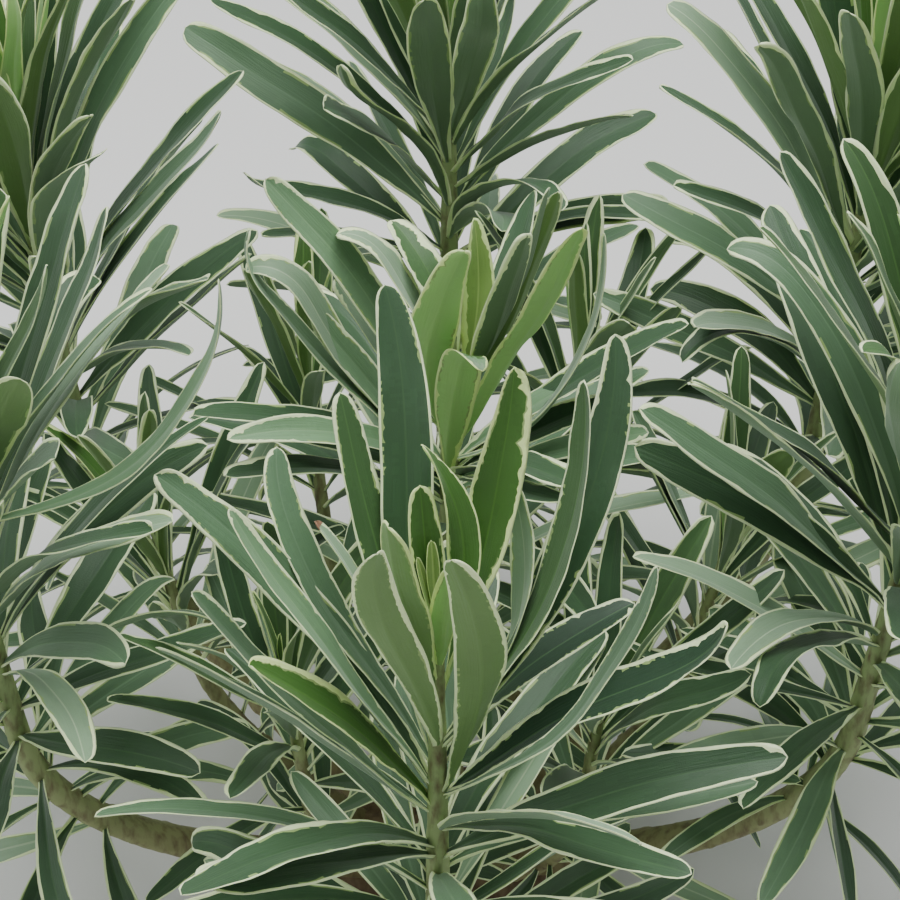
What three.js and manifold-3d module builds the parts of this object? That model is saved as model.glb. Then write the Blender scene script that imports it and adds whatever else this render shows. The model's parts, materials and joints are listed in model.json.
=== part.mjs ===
// Mediterranean spurge with cream-edged leaves: one clump from one woody crown.
// Millimetres, +Z up. The origin is the middle of the flat cut under the crown, at ground level.

import * as THREE from "three";
import { mergeVertices } from "three/addons/utils/BufferGeometryUtils.js";
import Module from "manifold-3d";

const wasm = await Module();
wasm.setup();

// Driving sizes

const CROWN_RADIUS = 31;
const CROWN_FLARE = 11;
const CROWN_HEIGHT = 34;
const CROWN_SHOULDER = 0.62;
const CROWN_KNOBS = 7;
const CROWN_KNOB_DEPTH = 0.09;
const CROWN_KNOB_TURN = 1.1;
const CROWN_LOBES = 3;
const CROWN_LOBE_TWIST = 5;
const CROWN_SIDES = 26;
const CROWN_ROWS = 7;

const STEM_FOOT_REACH = 16;
const STEM_FOOT_Z = 17;
const STEM_CURVE_POWER = 2.1;
const STEM_SIDES = 8;
const STEM_ROWS = 7;
const SHOOT_SIDES = 6;
const SHOOT_ROWS = 5;
const CLEARANCE = 0.3;

// The two kinds of shoot: where the stem is upright, how thick it is, where the leaves take over from
// the bare stem, and how many leaves there are over what length and how long the longest are

const GROWN = {
  uprightZ: 128,
  footRadius: 6.4,
  splitRadius: 4.4,
  tipRadius: 1.6,
  splitZ: 74,
  leaves: 36,
  leafyLength: 146,
  leafLength: 106,
};

const YOUNG = {
  uprightZ: 96,
  footRadius: 3.6,
  splitRadius: 3.1,
  tipRadius: 1.3,
  splitZ: 50,
  leaves: 20,
  leafyLength: 96,
  leafLength: 76,
};

const LEAF_BOW_LEVEL = 0.33;
const LEAF_SPACE_STATIONS = 13;
const LEAF_THICKNESS_RATIO = 0.0115;
const LEAF_THICKNESS_MIN = 0.55;
const LEAF_FOLD = 0.26;
const LEAF_WIDEST = 0.6;
const LEAF_BASE_WIDTH = 0.22;
const LEAF_ROOT_SHARE = 0.5;
const LEAF_RISE_POWER = 1.3;
const LEAF_TIP_TAPER = 0.48;
const LEAF_TIP_ROUNDNESS = 20;
const LEAF_CURL_FROM = 0.7;
const LEAF_STATIONS = [0, 0.3, 0.62, 0.88, 1];
const PLAIN_LEAF_STATIONS = [0, 0.36, 0.8, 1];
const LEAF_FINE_STATIONS = 51;
const LEAF_TURNS = [0, 0.4, -0.4, 0.9, -0.9, 1.5, -1.5, 2.2, -2.2];
const SHORTEST_EDGE = 0.012;
const THINNEST_FACE = 0.003;

const SPACE_MARGIN = 1.2;
const GROUND_MARGIN = 9;
const LIMB_MARGIN = 3;
const LIMB_SWELL = 2;
const LIMB_OVERLAP = 12;
const LEAF_AIR = 0.4;
const LEAF_ROOT_PART = 0.2;
const SHORTEST_FITTED = 0.5;
const FITTING_STEP = 0.95;

// How a shoot's leaves change from the youngest at its tip, age 0, to the lowest, age 1.
// Lengths are in millimetres and angles in degrees, and a spread is the most that a leaf differs.

const AGE = {
  goldenAngle: 137.508,
  firstDrop: 1.5,
  spacingPower: 1.35,
  seedTurn: 40,
  turnSpread: 12,
  budAge: 0.03,
  growingAge: 0.12,
  oldAge: 0.45,
  oldLoss: 0.42,
  oldPower: 1.2,
  lengthSpread: 0.08,
  youngLean: 6,
  addedLean: 90,
  leanSpread: 7,
  youngBend: 12,
  addedBend: 30,
  bendSpread: 14,
  swingSpread: 34,
  twistSpread: 34,
  slimness: 0.125,
  slimnessSpread: 0.02,
  curledShare: 0.25,
  curlSpread: 70,
  bowSpread: 14,
  rollSpread: 24,
};

const COLOURS = {
  crown: 0x6b5a45,
  stem: 0x8a8a62,
  leaves: 0x52704f,
};

// Shoots: where each one ends, how far it leans outwards there, and the length below its tip on which
// every leaf is described

const LOWEST_DESCRIBED = 64;

const SHOOTS = [
  { name: "front", kind: GROWN, top: [-1, -140, 232], lean: 0, described: LOWEST_DESCRIBED, seed: 11 },
  { name: "centre", kind: GROWN, top: [2, 0, 228], lean: 0, described: LOWEST_DESCRIBED, seed: 23 },
  { name: "left", kind: GROWN, top: [-128, -74, 230], lean: 7, seed: 31 },
  { name: "right", kind: GROWN, top: [128, -72, 238], lean: 8, seed: 47 },
  { name: "back_left", kind: GROWN, top: [-125, 74, 222], lean: 9, seed: 53 },
  { name: "back_right", kind: GROWN, top: [127, 74, 236], lean: 7, seed: 67 },
  { name: "back", kind: GROWN, top: [2, 146, 228], lean: 8, seed: 79 },
  { name: "young_right", kind: YOUNG, top: [84, 0, 142], lean: 12, seed: 83 },
  { name: "young_left", kind: YOUNG, top: [-84, 2, 138], lean: 12, seed: 97 },
  { name: "young_front_right", kind: YOUNG, top: [44, -72, 146], lean: 10, seed: 101 },
  { name: "young_front_left", kind: YOUNG, top: [-43, -70, 150], lean: 10, seed: 109 },
  { name: "young_back_right", kind: YOUNG, top: [42, 72, 150], lean: 10, seed: 113 },
  { name: "young_back_left", kind: YOUNG, top: [-42, 73, 146], lean: 10, seed: 127 },
];

// Leaves that are described one by one: most of two shoots', and one on a third.
// Each row: how far below the shoot's tip it grows, the way it points seen from above, its lean from
// the stem, how much the lean grows along it, how far it swings sideways, its twist, length, width,
// and then, where they are needed, the curl of its tip, its sideways bow and its roll, in degrees.

const NAMED_LEAVES = {
  front: [
    [30, 103, 32, 14, -15, 0, 104, 13, 0, 32],
    [38, 124, 28, 10, -26, 10, 88, 10.5],
    [26, 57, 24, 10, 50, 95, 85, 12.5, 0, 0, -45],
    [43, 43, 34, 10, 96, 15, 116, 12, 0, 4, 10],
    [41, 37, 29, -4, 128, -90, 106, 13, 0, 0, 22],
    [14, 99, 22, 10, 200, 0, 60, 8.5],
    [10, 114, 12, 8, -20, 0, 43, 9],
    [2, 110, 8, 0, 0, 0, 22, 3.5],
    [3, 150, 14, 0, 0, 0, 19, 3.5],
    [24, -128, 15, 0, 40, -80, 64, 13.5, 0, 0, 40],
    [41, -109, 24, 0, 24, 0, 101, 11.5, 0, 44, 22],
    [58, -85, 19, -2, -118, 34, 105, 12.5, 0, 0, -8],
    [16, -70, 14, 0, 0, 0, 40, 7.5],
    [42, 54, 27, -12, 165, -45, 77, 9.5, 0, 8, -26],
    [50, 21, 53, 52, 0, 20, 65, 12, 0, 10, -15],
    [58, -35, 30, -40, 10, 60, 121, 6.5],
    [60, 0, 56, 30, 0, 0, 90, 14, -60],
    [58, 167, 37, 16, 30, -15, 112, 12, 0, 0, -15],
    [56, 172, 31, 10, -46, 0, 96, 8.5],
    [50, 137, 38, 8, -60, 0, 91, 10.5, 0, -32, 10],
    [65, 168, 44, 0, -32, 0, 86, 12, 0, 0, 20],
    [62, -160, 37, 20, 8, 10, 76, 12, 0, 4, -24],
    [48, 155, 25, 24, 10, 0, 73, 8, 0, 0, 15],
  ],
  centre: [
    [50, -79, 21, 0, 120, -50, 86, 13],
    [44, 56, 12, 0, 165, 0, 64, 9],
    [62, -78, 22, 0, 30, 0, 75, 12, 95, 0, -28],
    [54, -27, 24, -5, 35, -50, 95, 12.5],
    [58, -10, 27, -62, 70, 5, 104, 7, 0, 0, -5],
    [38, -20, 19, -20, 0, 0, 82, 9],
    [42, -14, 20, -16, 20, -60, 84, 10],
    [44, -40, 19, -10, 0, -20, 78, 11],
    [50, 176, 30, 22, 0, 0, 97, 11.5, 0, 0, -35],
    [66, 171, 40, 0, -20, 35, 100, 9.5, -68, 0, -12],
    [62, 170, 32, -28, 0, -20, 88, 11, 105],
    [40, 173, 22, 30, 0, 0, 68, 12, 72],
    [32, 130, 30, 95, 0, 0, 54, 12],
    [50, 170, 32, 0, 0, -20, 58, 11],
    [60, 170, 38, -10, 0, -30, 60, 11],
    [64, -150, 60, 44, 0, 0, 80, 9, 0, 0, -30],
    [66, -160, 58, 20, 0, 0, 66, 9, 0, 0, -30],
    [60, 0, 52, 20, 0, 0, 52, 11],
    [62, 0, 52, 20, 0, 0, 82, 13],
    [70, -4, 74, 20, 0, 0, 60, 11],
    [64, -4, 58, 16, 0, 20, 56, 10],
    [66, -10, 66, 10, 0, 20, 60, 10],
  ],
  left: [
    [26, 0, 47, -84, 0, 12, 124, 8],
  ],
};

// Seeded random numbers, the same on every run

function makeRandom(seed) {
  let state = seed * 2654435761;
  return function next() {
    state = (state + 0x6d2b79f5) | 0;
    let mixed = Math.imul(state ^ (state >>> 15), 1 | state);
    mixed = (mixed + Math.imul(mixed ^ (mixed >>> 7), 61 | mixed)) ^ mixed;
    return ((mixed ^ (mixed >>> 14)) >>> 0) / 4294967296;
  };
}

const radians = THREE.MathUtils.degToRad;
const clamp = THREE.MathUtils.clamp;

// A shoot's line from the crown's side outwards, then up to its tip

class ShootCurve extends THREE.Curve {
  constructor(shoot) {
    super();
    this.kind = shoot.kind;
    const outward = new THREE.Vector2(shoot.top[0], shoot.top[1]);
    const reach = outward.length();
    if (reach > 20) outward.divideScalar(reach);
    else outward.set(0, 0);
    this.top = new THREE.Vector3(...shoot.top);
    this.foot = new THREE.Vector2().copy(outward).multiplyScalar(STEM_FOOT_REACH);
    this.slope = outward.clone().multiplyScalar(Math.tan(radians(shoot.lean)));
  }

  atHeight(z) {
    const progress = clamp((z - STEM_FOOT_Z) / (this.kind.uprightZ - STEM_FOOT_Z), 0, 1);
    const eased = 1 - (1 - progress) ** STEM_CURVE_POWER;
    const lineX = this.top.x - this.slope.x * (this.top.z - z);
    const lineY = this.top.y - this.slope.y * (this.top.z - z);
    return new THREE.Vector3(
      this.foot.x + (lineX - this.foot.x) * eased,
      this.foot.y + (lineY - this.foot.y) * eased,
      z,
    );
  }

  getPoint(t) {
    return this.atHeight(STEM_FOOT_Z + (this.top.z - STEM_FOOT_Z) * t);
  }

  directionAt(z) {
    return this.atHeight(z + 0.5).sub(this.atHeight(z - 0.5)).normalize();
  }

  radiusAt(z) {
    const { footRadius, splitRadius, tipRadius, splitZ } = this.kind;
    if (z < splitZ) {
      const low = clamp((z - STEM_FOOT_Z) / (splitZ - STEM_FOOT_Z), 0, 1);
      return THREE.MathUtils.lerp(footRadius, splitRadius, low);
    }
    const high = clamp((z - splitZ) / (this.top.z - splitZ), 0, 1);
    return THREE.MathUtils.lerp(splitRadius, tipRadius, high);
  }
}

// A closed sweep: a cylinder or cone whose rings are carried to new places by a function

function sweep(sides, rows, pointed, place) {
  const source = pointed
    ? new THREE.ConeGeometry(1, 1, sides, rows)
    : new THREE.CylinderGeometry(1, 1, 1, sides, rows);
  source.deleteAttribute("normal");
  source.deleteAttribute("uv");
  const geometry = mergeVertices(source, 1e-5);
  const position = geometry.attributes.position;
  for (let i = 0; i < position.count; i += 1) {
    const s = position.getY(i) + 0.5;
    const shrink = pointed ? Math.max(1 - s, 1e-6) : 1;
    let across = position.getX(i) / shrink;
    let down = position.getZ(i) / shrink;
    if (pointed && s > 0.9999) {
      across = 0;
      down = 0;
    }
    const moved = place(clamp(s, 0, 1), across, down);
    position.setXYZ(i, moved.x, moved.y, moved.z);
  }
  return geometry;
}

function toSolid(geometry) {
  return new wasm.Manifold(
    new wasm.Mesh({
      numProp: 3,
      vertProperties: new Float32Array(geometry.attributes.position.array),
      triVerts: new Uint32Array(geometry.index.array),
    }),
  );
}

// The outer skin of a joined solid: loose scraps and sealed hollows are left out

function outerSkin(solid) {
  const mesh = solid.getMesh();
  const corners = mesh.triVerts;
  const parent = Uint32Array.from({ length: mesh.vertProperties.length / 3 }, (_, i) => i);
  const root = (i) => {
    let at = i;
    while (parent[at] !== at) {
      parent[at] = parent[parent[at]];
      at = parent[at];
    }
    return at;
  };
  for (let i = 0; i < corners.length; i += 3) {
    parent[root(corners[i])] = root(corners[i + 1]);
    parent[root(corners[i + 1])] = root(corners[i + 2]);
  }
  const counts = new Map();
  for (let i = 0; i < corners.length; i += 3) {
    const key = root(corners[i]);
    counts.set(key, (counts.get(key) ?? 0) + 1);
  }
  const largest = [...counts.entries()].sort((a, b) => b[1] - a[1])[0][0];
  const kept = [];
  for (let i = 0; i < corners.length; i += 3) {
    if (root(corners[i]) === largest) kept.push(corners[i], corners[i + 1], corners[i + 2]);
  }
  const geometry = new THREE.BufferGeometry();
  geometry.setAttribute("position", new THREE.Float32BufferAttribute(mesh.vertProperties, 3));
  geometry.setIndex(kept);
  return geometry;
}

// A skin is sound when it has no hair-thin faces and stays closed with its corners rounded to a grid

function hasThinFaces(geometry) {
  const position = geometry.attributes.position;
  const index = geometry.index;
  const corners = [new THREE.Vector3(), new THREE.Vector3(), new THREE.Vector3()];
  const triangle = new THREE.Triangle(...corners);
  for (let i = 0; i < index.count; i += 3) {
    triangle.setFromAttributeAndIndices(
      position,
      index.getX(i),
      index.getX(i + 1),
      index.getX(i + 2),
    );
    const sides = [
      triangle.a.distanceTo(triangle.b),
      triangle.b.distanceTo(triangle.c),
      triangle.c.distanceTo(triangle.a),
    ];
    if (Math.min(...sides) < SHORTEST_EDGE) return true;
    if ((2 * triangle.getArea()) / Math.max(...sides) < THINNEST_FACE) return true;
  }
  return false;
}

function staysClosed(geometry, grid) {
  const position = geometry.attributes.position;
  const names = new Map();
  const corner = (i) => {
    const key = [position.getX(i), position.getY(i), position.getZ(i)]
      .map((value) => Math.round(value / grid))
      .join();
    if (!names.has(key)) names.set(key, names.size);
    return names.get(key);
  };
  const edges = new Map();
  const index = geometry.index;
  for (let i = 0; i < index.count; i += 3) {
    const face = [corner(index.getX(i)), corner(index.getX(i + 1)), corner(index.getX(i + 2))];
    if (new Set(face).size < 3) continue;
    for (let k = 0; k < 3; k += 1) {
      const from = face[k];
      const to = face[(k + 1) % 3];
      const key = `${Math.min(from, to)}_${Math.max(from, to)}`;
      const entry = edges.get(key) ?? [0, 0];
      entry[from < to ? 0 : 1] += 1;
      edges.set(key, entry);
    }
  }
  return [...edges.values()].every(([there, back]) => there === 1 && back === 1);
}

function isSound(geometry) {
  return !hasThinFaces(geometry) && staysClosed(geometry, 1e-4) && staysClosed(geometry, 1e-3);
}

// The woody crown: a knobbly dome with a flare at the ground

function crownGeometry(grow) {
  return sweep(CROWN_SIDES, CROWN_ROWS, true, (s, across, down) => {
    const angle = Math.atan2(down, across);
    const height = s * CROWN_HEIGHT;
    const flare = CROWN_FLARE * (1 - s) ** 3;
    const dome = s < CROWN_SHOULDER
      ? 1
      : Math.sqrt(Math.max(1 - ((s - CROWN_SHOULDER) / (1 - CROWN_SHOULDER)) ** 2, 0));
    const knobs = 1 + CROWN_KNOB_DEPTH * Math.sin(CROWN_KNOBS * angle + CROWN_KNOB_TURN)
      + 0.5 * CROWN_KNOB_DEPTH * Math.sin(CROWN_LOBES * angle + CROWN_LOBE_TWIST * s);
    const radius = (CROWN_RADIUS * dome + flare) * knobs + grow;
    const size = Math.hypot(across, down);
    return new THREE.Vector3(
      size > 1e-6 ? (radius * across) / size : 0,
      size > 1e-6 ? (-radius * down) / size : 0,
      grow > 0 ? height * (1 + grow / CROWN_HEIGHT) - grow * (1 - s) : height,
    );
  });
}

// A length of a shoot's stem between two heights

function stemGeometry(curve, from, to, sides, rows, pointed) {
  return sweep(sides, rows, pointed, (s, across, down) => {
    const z = THREE.MathUtils.lerp(from, to, s);
    const centre = curve.atHeight(z);
    const along = curve.directionAt(z);
    const east = new THREE.Vector3(1, 0, 0).addScaledVector(along, -along.x).normalize();
    const south = new THREE.Vector3().crossVectors(east, along);
    const radius = curve.radiusAt(z);
    return centre.addScaledVector(east, across * radius).addScaledVector(south, down * radius);
  });
}

// One leaf: its middle line, its sides and its upper face at stations along it

function leafFrames(curve, row, count) {
  const [drop, azimuth, lean, bend, swing, twist, length, width] = row;
  const curl = row[8] ?? 0;
  const bow = row[9] ?? 0;
  const roll = row[10] ?? 0;
  const z = curve.top.z - drop;
  const along = curve.directionAt(z);
  const east = new THREE.Vector3(1, 0, 0).addScaledVector(along, -along.x).normalize();
  const north = new THREE.Vector3().crossVectors(along, east);
  const start = radians(azimuth - swing / 2 + bow * (1 - LEAF_BOW_LEVEL));
  const sunk = LEAF_ROOT_SHARE * curve.radiusAt(z);
  const point = curve.atHeight(z)
    .addScaledVector(east, sunk * Math.cos(start))
    .addScaledVector(north, sunk * Math.sin(start));
  const frames = [];
  const fine = 6;
  const step = length / ((count - 1) * fine);
  for (let i = 0; i <= (count - 1) * fine; i += 1) {
    const s = i / ((count - 1) * fine);
    const m = 2 * s - 1;
    const tip = clamp((s - LEAF_CURL_FROM) / (1 - LEAF_CURL_FROM), 0, 1);
    const tilt = radians(lean + (bend * m) / 2 + curl * tip * tip);
    const turn = radians(azimuth + (swing * m) / 2 + bow * (m * m - LEAF_BOW_LEVEL));
    const forward = along.clone().multiplyScalar(Math.cos(tilt))
      .addScaledVector(east, Math.sin(tilt) * Math.cos(turn))
      .addScaledVector(north, Math.sin(tilt) * Math.sin(turn));
    if (i > 0) point.addScaledVector(forward, step);
    if (i % fine !== 0) continue;
    const flat = east.clone().multiplyScalar(-Math.sin(turn)).addScaledVector(north, Math.cos(turn));
    const upper = new THREE.Vector3().crossVectors(forward, flat);
    const spin = radians(roll + twist * s);
    const side = flat.clone().multiplyScalar(Math.cos(spin)).addScaledVector(upper, Math.sin(spin));
    const face = new THREE.Vector3().crossVectors(forward, side);
    frames.push({ s, point: point.clone(), side, face, half: (width / 2) * leafOutline(s) });
  }
  return frames;
}

function leafOutline(s) {
  const rise = Math.sin((Math.min(s / LEAF_WIDEST, 1) * Math.PI) / 2) ** LEAF_RISE_POWER;
  const tip = clamp((s - LEAF_WIDEST) / (1 - LEAF_WIDEST), 0, 1);
  const body = LEAF_BASE_WIDTH + (1 - LEAF_BASE_WIDTH) * rise;
  const end = Math.sqrt(Math.max(1 - tip ** LEAF_TIP_ROUNDNESS, 0));
  return body * (1 - LEAF_TIP_TAPER * tip ** 2) * end;
}

// A leaf as a closed blade with a fold. Each station has four corners, the right edge, the ridge above,
// the left edge and the keel below, and the last one is the tip. The faces below are split the same way
// as those above, so that the two sides of a twisted leaf never cross.

function leafGeometry(curve, row, stations, air = 0) {
  const frames = leafFrames(curve, row, LEAF_FINE_STATIONS);
  const thick = Math.max(row[6] * LEAF_THICKNESS_RATIO, LEAF_THICKNESS_MIN) / 2 + air;
  const corners = [];
  const faces = [];
  stations.forEach((station, i) => {
    const frame = frames[Math.round(station * (LEAF_FINE_STATIONS - 1))];
    const isTip = i === stations.length - 1;
    for (const [across, up] of isTip ? [[0, 0]] : [[1, 0], [0, 1], [-1, 0], [0, -1]]) {
      const rise = Math.abs(across) * LEAF_FOLD * frame.half;
      const corner = frame.point.clone()
        .addScaledVector(frame.side, across * (frame.half + air))
        .addScaledVector(frame.face, rise + up * thick);
      corners.push(...corner.toArray());
    }
    if (i === 0) return;
    const [right, ridge, left, keel] = [0, 1, 2, 3].map((corner) => (i - 1) * 4 + corner);
    const around = [[right, ridge], [ridge, left], [left, keel], [keel, right]];
    for (const [from, to] of around) {
      const isFromEdge = from === right || from === left;
      if (isTip) faces.push(from, to, i * 4);
      else if (isFromEdge) faces.push(from, to, to + 4, from, to + 4, from + 4);
      else faces.push(from, to, from + 4, to, to + 4, from + 4);
    }
  });
  faces.push(0, 3, 2, 0, 2, 1);
  const geometry = new THREE.BufferGeometry();
  geometry.setAttribute("position", new THREE.Float32BufferAttribute(corners, 3));
  geometry.setIndex(faces);
  return geometry;
}

// A leaf stays if it keeps to its shoot's own space, above the ground and clear of the bare stems

function keepsToSpace(curve, row, own, curves) {
  for (const frame of leafFrames(curve, row, LEAF_SPACE_STATIONS)) {
    for (const reach of [-1, 0, 1]) {
      const p = frame.point.clone().addScaledVector(frame.side, reach * frame.half);
      if (p.z < GROUND_MARGIN) return false;
      for (const other of curves) {
        const bothGrown = own.kind === GROWN && other.kind === GROWN;
        if (other !== own && bothGrown) {
          const gap = new THREE.Vector2(other.top.x - own.top.x, other.top.y - own.top.y);
          const middle = gap.length() / 2;
          gap.normalize();
          const inward = (p.x - own.top.x) * gap.x + (p.y - own.top.y) * gap.y;
          if (inward > middle - SPACE_MARGIN) return false;
        }
        const limbTop = other.kind === GROWN || other === own ? other.kind.splitZ : other.top.z;
        if (frame.s > LEAF_ROOT_PART && p.z < limbTop + LIMB_OVERLAP) {
          const z = clamp(p.z, STEM_FOOT_Z, limbTop);
          const clear = other.radiusAt(z) * LIMB_SWELL + LIMB_MARGIN;
          if (other.atHeight(z).distanceTo(p) < clear) return false;
        }
      }
    }
  }
  return true;
}

function fitted(curve, row, curves) {
  const trial = [...row];
  while (trial[6] > SHORTEST_FITTED * row[6]) {
    if (keepsToSpace(curve, trial, curve, curves)) return trial;
    trial[6] *= FITTING_STEP;
  }
  return null;
}

// The leaves of a shoot by rule: young and upright at the tip, long below it, then low and drooping

function ruleLeaves(shoot, firstDrop) {
  const random = makeRandom(shoot.seed);
  const spread = (amount) => (2 * random() - 1) * amount;
  const { leaves, leafyLength, leafLength } = shoot.kind;
  const rows = [];
  for (let i = 0; i < leaves; i += 1) {
    const age = i / (leaves - 1);
    const drop = AGE.firstDrop + leafyLength * age ** AGE.spacingPower;
    const grown = 1 - Math.exp(-(age + AGE.budAge) / AGE.growingAge);
    const past = Math.max((age - AGE.oldAge) / (1 - AGE.oldAge), 0);
    const full = leafLength * grown * (1 - AGE.oldLoss * past ** AGE.oldPower);
    const length = full * (1 + spread(AGE.lengthSpread));
    const row = [
      drop,
      AGE.goldenAngle * i + AGE.seedTurn * shoot.seed + spread(AGE.turnSpread),
      AGE.youngLean + AGE.addedLean * age + spread(AGE.leanSpread),
      AGE.youngBend + AGE.addedBend * age + spread(AGE.bendSpread),
      spread(AGE.swingSpread),
      spread(AGE.twistSpread),
      length,
      length * (AGE.slimness + spread(AGE.slimnessSpread)),
      random() < AGE.curledShare ? spread(AGE.curlSpread) : 0,
      spread(AGE.bowSpread),
      spread(AGE.rollSpread),
    ];
    if (drop > firstDrop) rows.push(row);
  }
  return rows;
}

// Assembly

const group = new THREE.Group();
const curves = SHOOTS.map((shoot) => new ShootCurve(shoot));

function addPiece(name, geometry, colour, roughness) {
  geometry.computeVertexNormals();
  const material = new THREE.MeshStandardMaterial({ color: colour, roughness, metalness: 0 });
  const mesh = new THREE.Mesh(geometry, material);
  mesh.name = name;
  group.add(mesh);
}

addPiece("crown", crownGeometry(0), COLOURS.crown, 0.9);

const crownSpace = toSolid(crownGeometry(CLEARANCE));

// A leaf that would leave a torn skin is turned a little, and left out when that doesn't help

function joinSoundly(mass, curve, leaf, stations) {
  for (const turn of LEAF_TURNS) {
    const turned = [...leaf];
    turned[1] += turn;
    const joined = mass.add(toSolid(leafGeometry(curve, turned, stations)));
    if (isSound(outerSkin(joined))) return joined;
  }
  return mass;
}

// The grown shoots come first. A young shoot's leaf has to lie clear of all that is there before it.

const masses = [];

function isClear(curve, leaf) {
  const space = toSolid(leafGeometry(curve, leaf, PLAIN_LEAF_STATIONS, LEAF_AIR));
  return masses.every((other) => other.intersect(space).getMesh().triVerts.length === 0);
}

function clearOfMasses(curve, row) {
  const trial = [...row];
  while (trial[6] > SHORTEST_FITTED * row[6]) {
    if (isClear(curve, trial)) return trial;
    trial[6] *= FITTING_STEP;
  }
  return null;
}

SHOOTS.forEach((shoot, index) => {
  const curve = curves[index];
  const isYoung = shoot.kind === YOUNG;
  let mass;
  if (isYoung) {
    const stem = toSolid(stemGeometry(curve, STEM_FOOT_Z, curve.top.z, SHOOT_SIDES, SHOOT_ROWS, true));
    mass = stem.subtract(crownSpace);
  } else {
    const { splitZ } = shoot.kind;
    const limb = toSolid(stemGeometry(curve, STEM_FOOT_Z, splitZ, STEM_SIDES, STEM_ROWS, false));
    addPiece(`stem_${shoot.name}`, outerSkin(limb.subtract(crownSpace)), COLOURS.stem, 0.75);
    const start = splitZ + CLEARANCE;
    mass = toSolid(stemGeometry(curve, start, curve.top.z, SHOOT_SIDES, SHOOT_ROWS, true));
  }

  const joinAll = (rows, stations) => {
    for (const row of rows) {
      const leaf = fitted(curve, row, curves);
      const placed = leaf && isYoung ? clearOfMasses(curve, leaf) : leaf;
      if (placed) mass = joinSoundly(mass, curve, placed, stations);
    }
  };
  joinAll(NAMED_LEAVES[shoot.name] ?? [], LEAF_STATIONS);
  joinAll(ruleLeaves(shoot, shoot.described ?? 0), PLAIN_LEAF_STATIONS);
  masses.push(mass);
  addPiece(`leaves_${shoot.name}`, outerSkin(mass), COLOURS.leaves, 0.6);
});

export default group;
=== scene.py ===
"""Looks of a mediterranean spurge clump with cream-edged leaves.

Seven grown shoots and six young ones rise from one woody crown. Each shoot is a tapering stem with leaf
scars below and leaves above, and every leaf is a closed blade with its own outline, fold, waves, midrib and
cream edge. Sizes are in millimetres until a mesh is made, because Blender's own unit is the metre.
"""

import json
import logging
import math
from dataclasses import dataclass, replace
from enum import Enum

import bpy
import numpy as np
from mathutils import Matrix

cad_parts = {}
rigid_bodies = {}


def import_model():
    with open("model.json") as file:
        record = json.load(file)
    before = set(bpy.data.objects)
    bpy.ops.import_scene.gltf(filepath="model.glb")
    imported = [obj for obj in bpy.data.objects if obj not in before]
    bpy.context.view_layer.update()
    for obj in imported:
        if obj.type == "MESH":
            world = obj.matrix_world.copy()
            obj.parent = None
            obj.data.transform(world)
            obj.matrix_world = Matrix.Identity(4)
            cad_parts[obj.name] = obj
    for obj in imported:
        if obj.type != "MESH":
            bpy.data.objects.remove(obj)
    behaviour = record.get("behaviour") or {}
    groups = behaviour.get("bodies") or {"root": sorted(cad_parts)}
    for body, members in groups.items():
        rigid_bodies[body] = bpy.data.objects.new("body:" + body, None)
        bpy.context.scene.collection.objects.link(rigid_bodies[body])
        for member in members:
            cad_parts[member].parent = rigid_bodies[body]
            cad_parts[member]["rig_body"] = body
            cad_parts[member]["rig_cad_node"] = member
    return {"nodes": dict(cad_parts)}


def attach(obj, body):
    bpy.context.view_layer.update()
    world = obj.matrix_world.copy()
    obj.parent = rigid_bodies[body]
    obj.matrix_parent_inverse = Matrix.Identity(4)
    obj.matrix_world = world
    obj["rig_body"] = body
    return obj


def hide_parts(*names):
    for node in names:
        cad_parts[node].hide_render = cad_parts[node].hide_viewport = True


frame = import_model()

LOG = logging.getLogger("spurge")

MM = 0.001
GOLDEN_ANGLE = 137.508

# Sizes of the clump, the same as those of its solids. A shoot that ends within the straight reach of the
# clump's middle rises from the middle, and the others start at the crown's side.

STEM_FOOT_REACH = 16.0
STEM_FOOT_Z = 17.0
STEM_CURVE_POWER = 2.1
STRAIGHT_REACH = 20.0
LEAF_WIDEST_AT = 0.6
LEAF_FOOT_SHARE = 0.22
LEAF_RISE_POWER = 1.3
LEAF_TIP_NARROWING = 0.48
LEAF_TIP_BLUNTNESS = 20
LEAF_SUNK_SHARE = 0.5
LEAF_LINE_STEPS = 240
LEAF_CURL_FROM = 0.7
LEAF_CURL_SHARE = 0.3
LEAF_BOW_LEVEL = 0.33
FILLING_SEED = 500
LOWEST_DESCRIBED = 64.0


@dataclass(frozen=True)
class Kind:
    """A kind of shoot: where it is upright, how thick its stem is, and how its leaves are spread.

    The filling leaves are those that the solids leave out. Youth is how fresh the leaves at its tip look.
    """

    upright_z: float
    foot_radius: float
    split_radius: float
    tip_radius: float
    split_z: float
    leaves: int
    filling: int
    leafy_length: float
    leaf_length: float
    youth: float


GROWN = Kind(128.0, 6.4, 4.4, 1.6, 74.0, 36, 52, 146.0, 106.0, 1.15)
YOUNG = Kind(96.0, 3.6, 3.1, 1.3, 50.0, 20, 20, 96.0, 76.0, 0.8)


class Tip(Enum):
    """The ways in which a leaf ends."""

    PLAIN = "plain"
    BROWN = "brown"
    SILVER = "silver"


@dataclass
class LeafRow:
    """One leaf: its place on the shoot, its stance and its looks. Angles are in degrees.

    The first eleven values are those of the solid's leaf: how far below the shoot's tip it grows, the way
    it points, its lean, how much the lean grows, its sideways swing, twist, length, width, the curl of its
    tip, its sideways bow and its roll. Fresh runs from -1, grey and old, over 0 to 1.2, a bud's leaf. Below
    -0.2 it also gives the top a painted sheen, from -0.2 up to -0.05 a painted shade, and from 0.66 up to
    1.01 an underside of painted light shining through.
    """

    drop: float
    azimuth: float
    lean: float
    bend: float
    swing: float
    twist: float
    length: float
    width: float
    curl: float = 0.0
    bow: float = 0.0
    roll: float = 0.0
    fresh: float | None = None
    margin: float = 1.0
    tip: Tip = Tip.PLAIN


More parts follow.
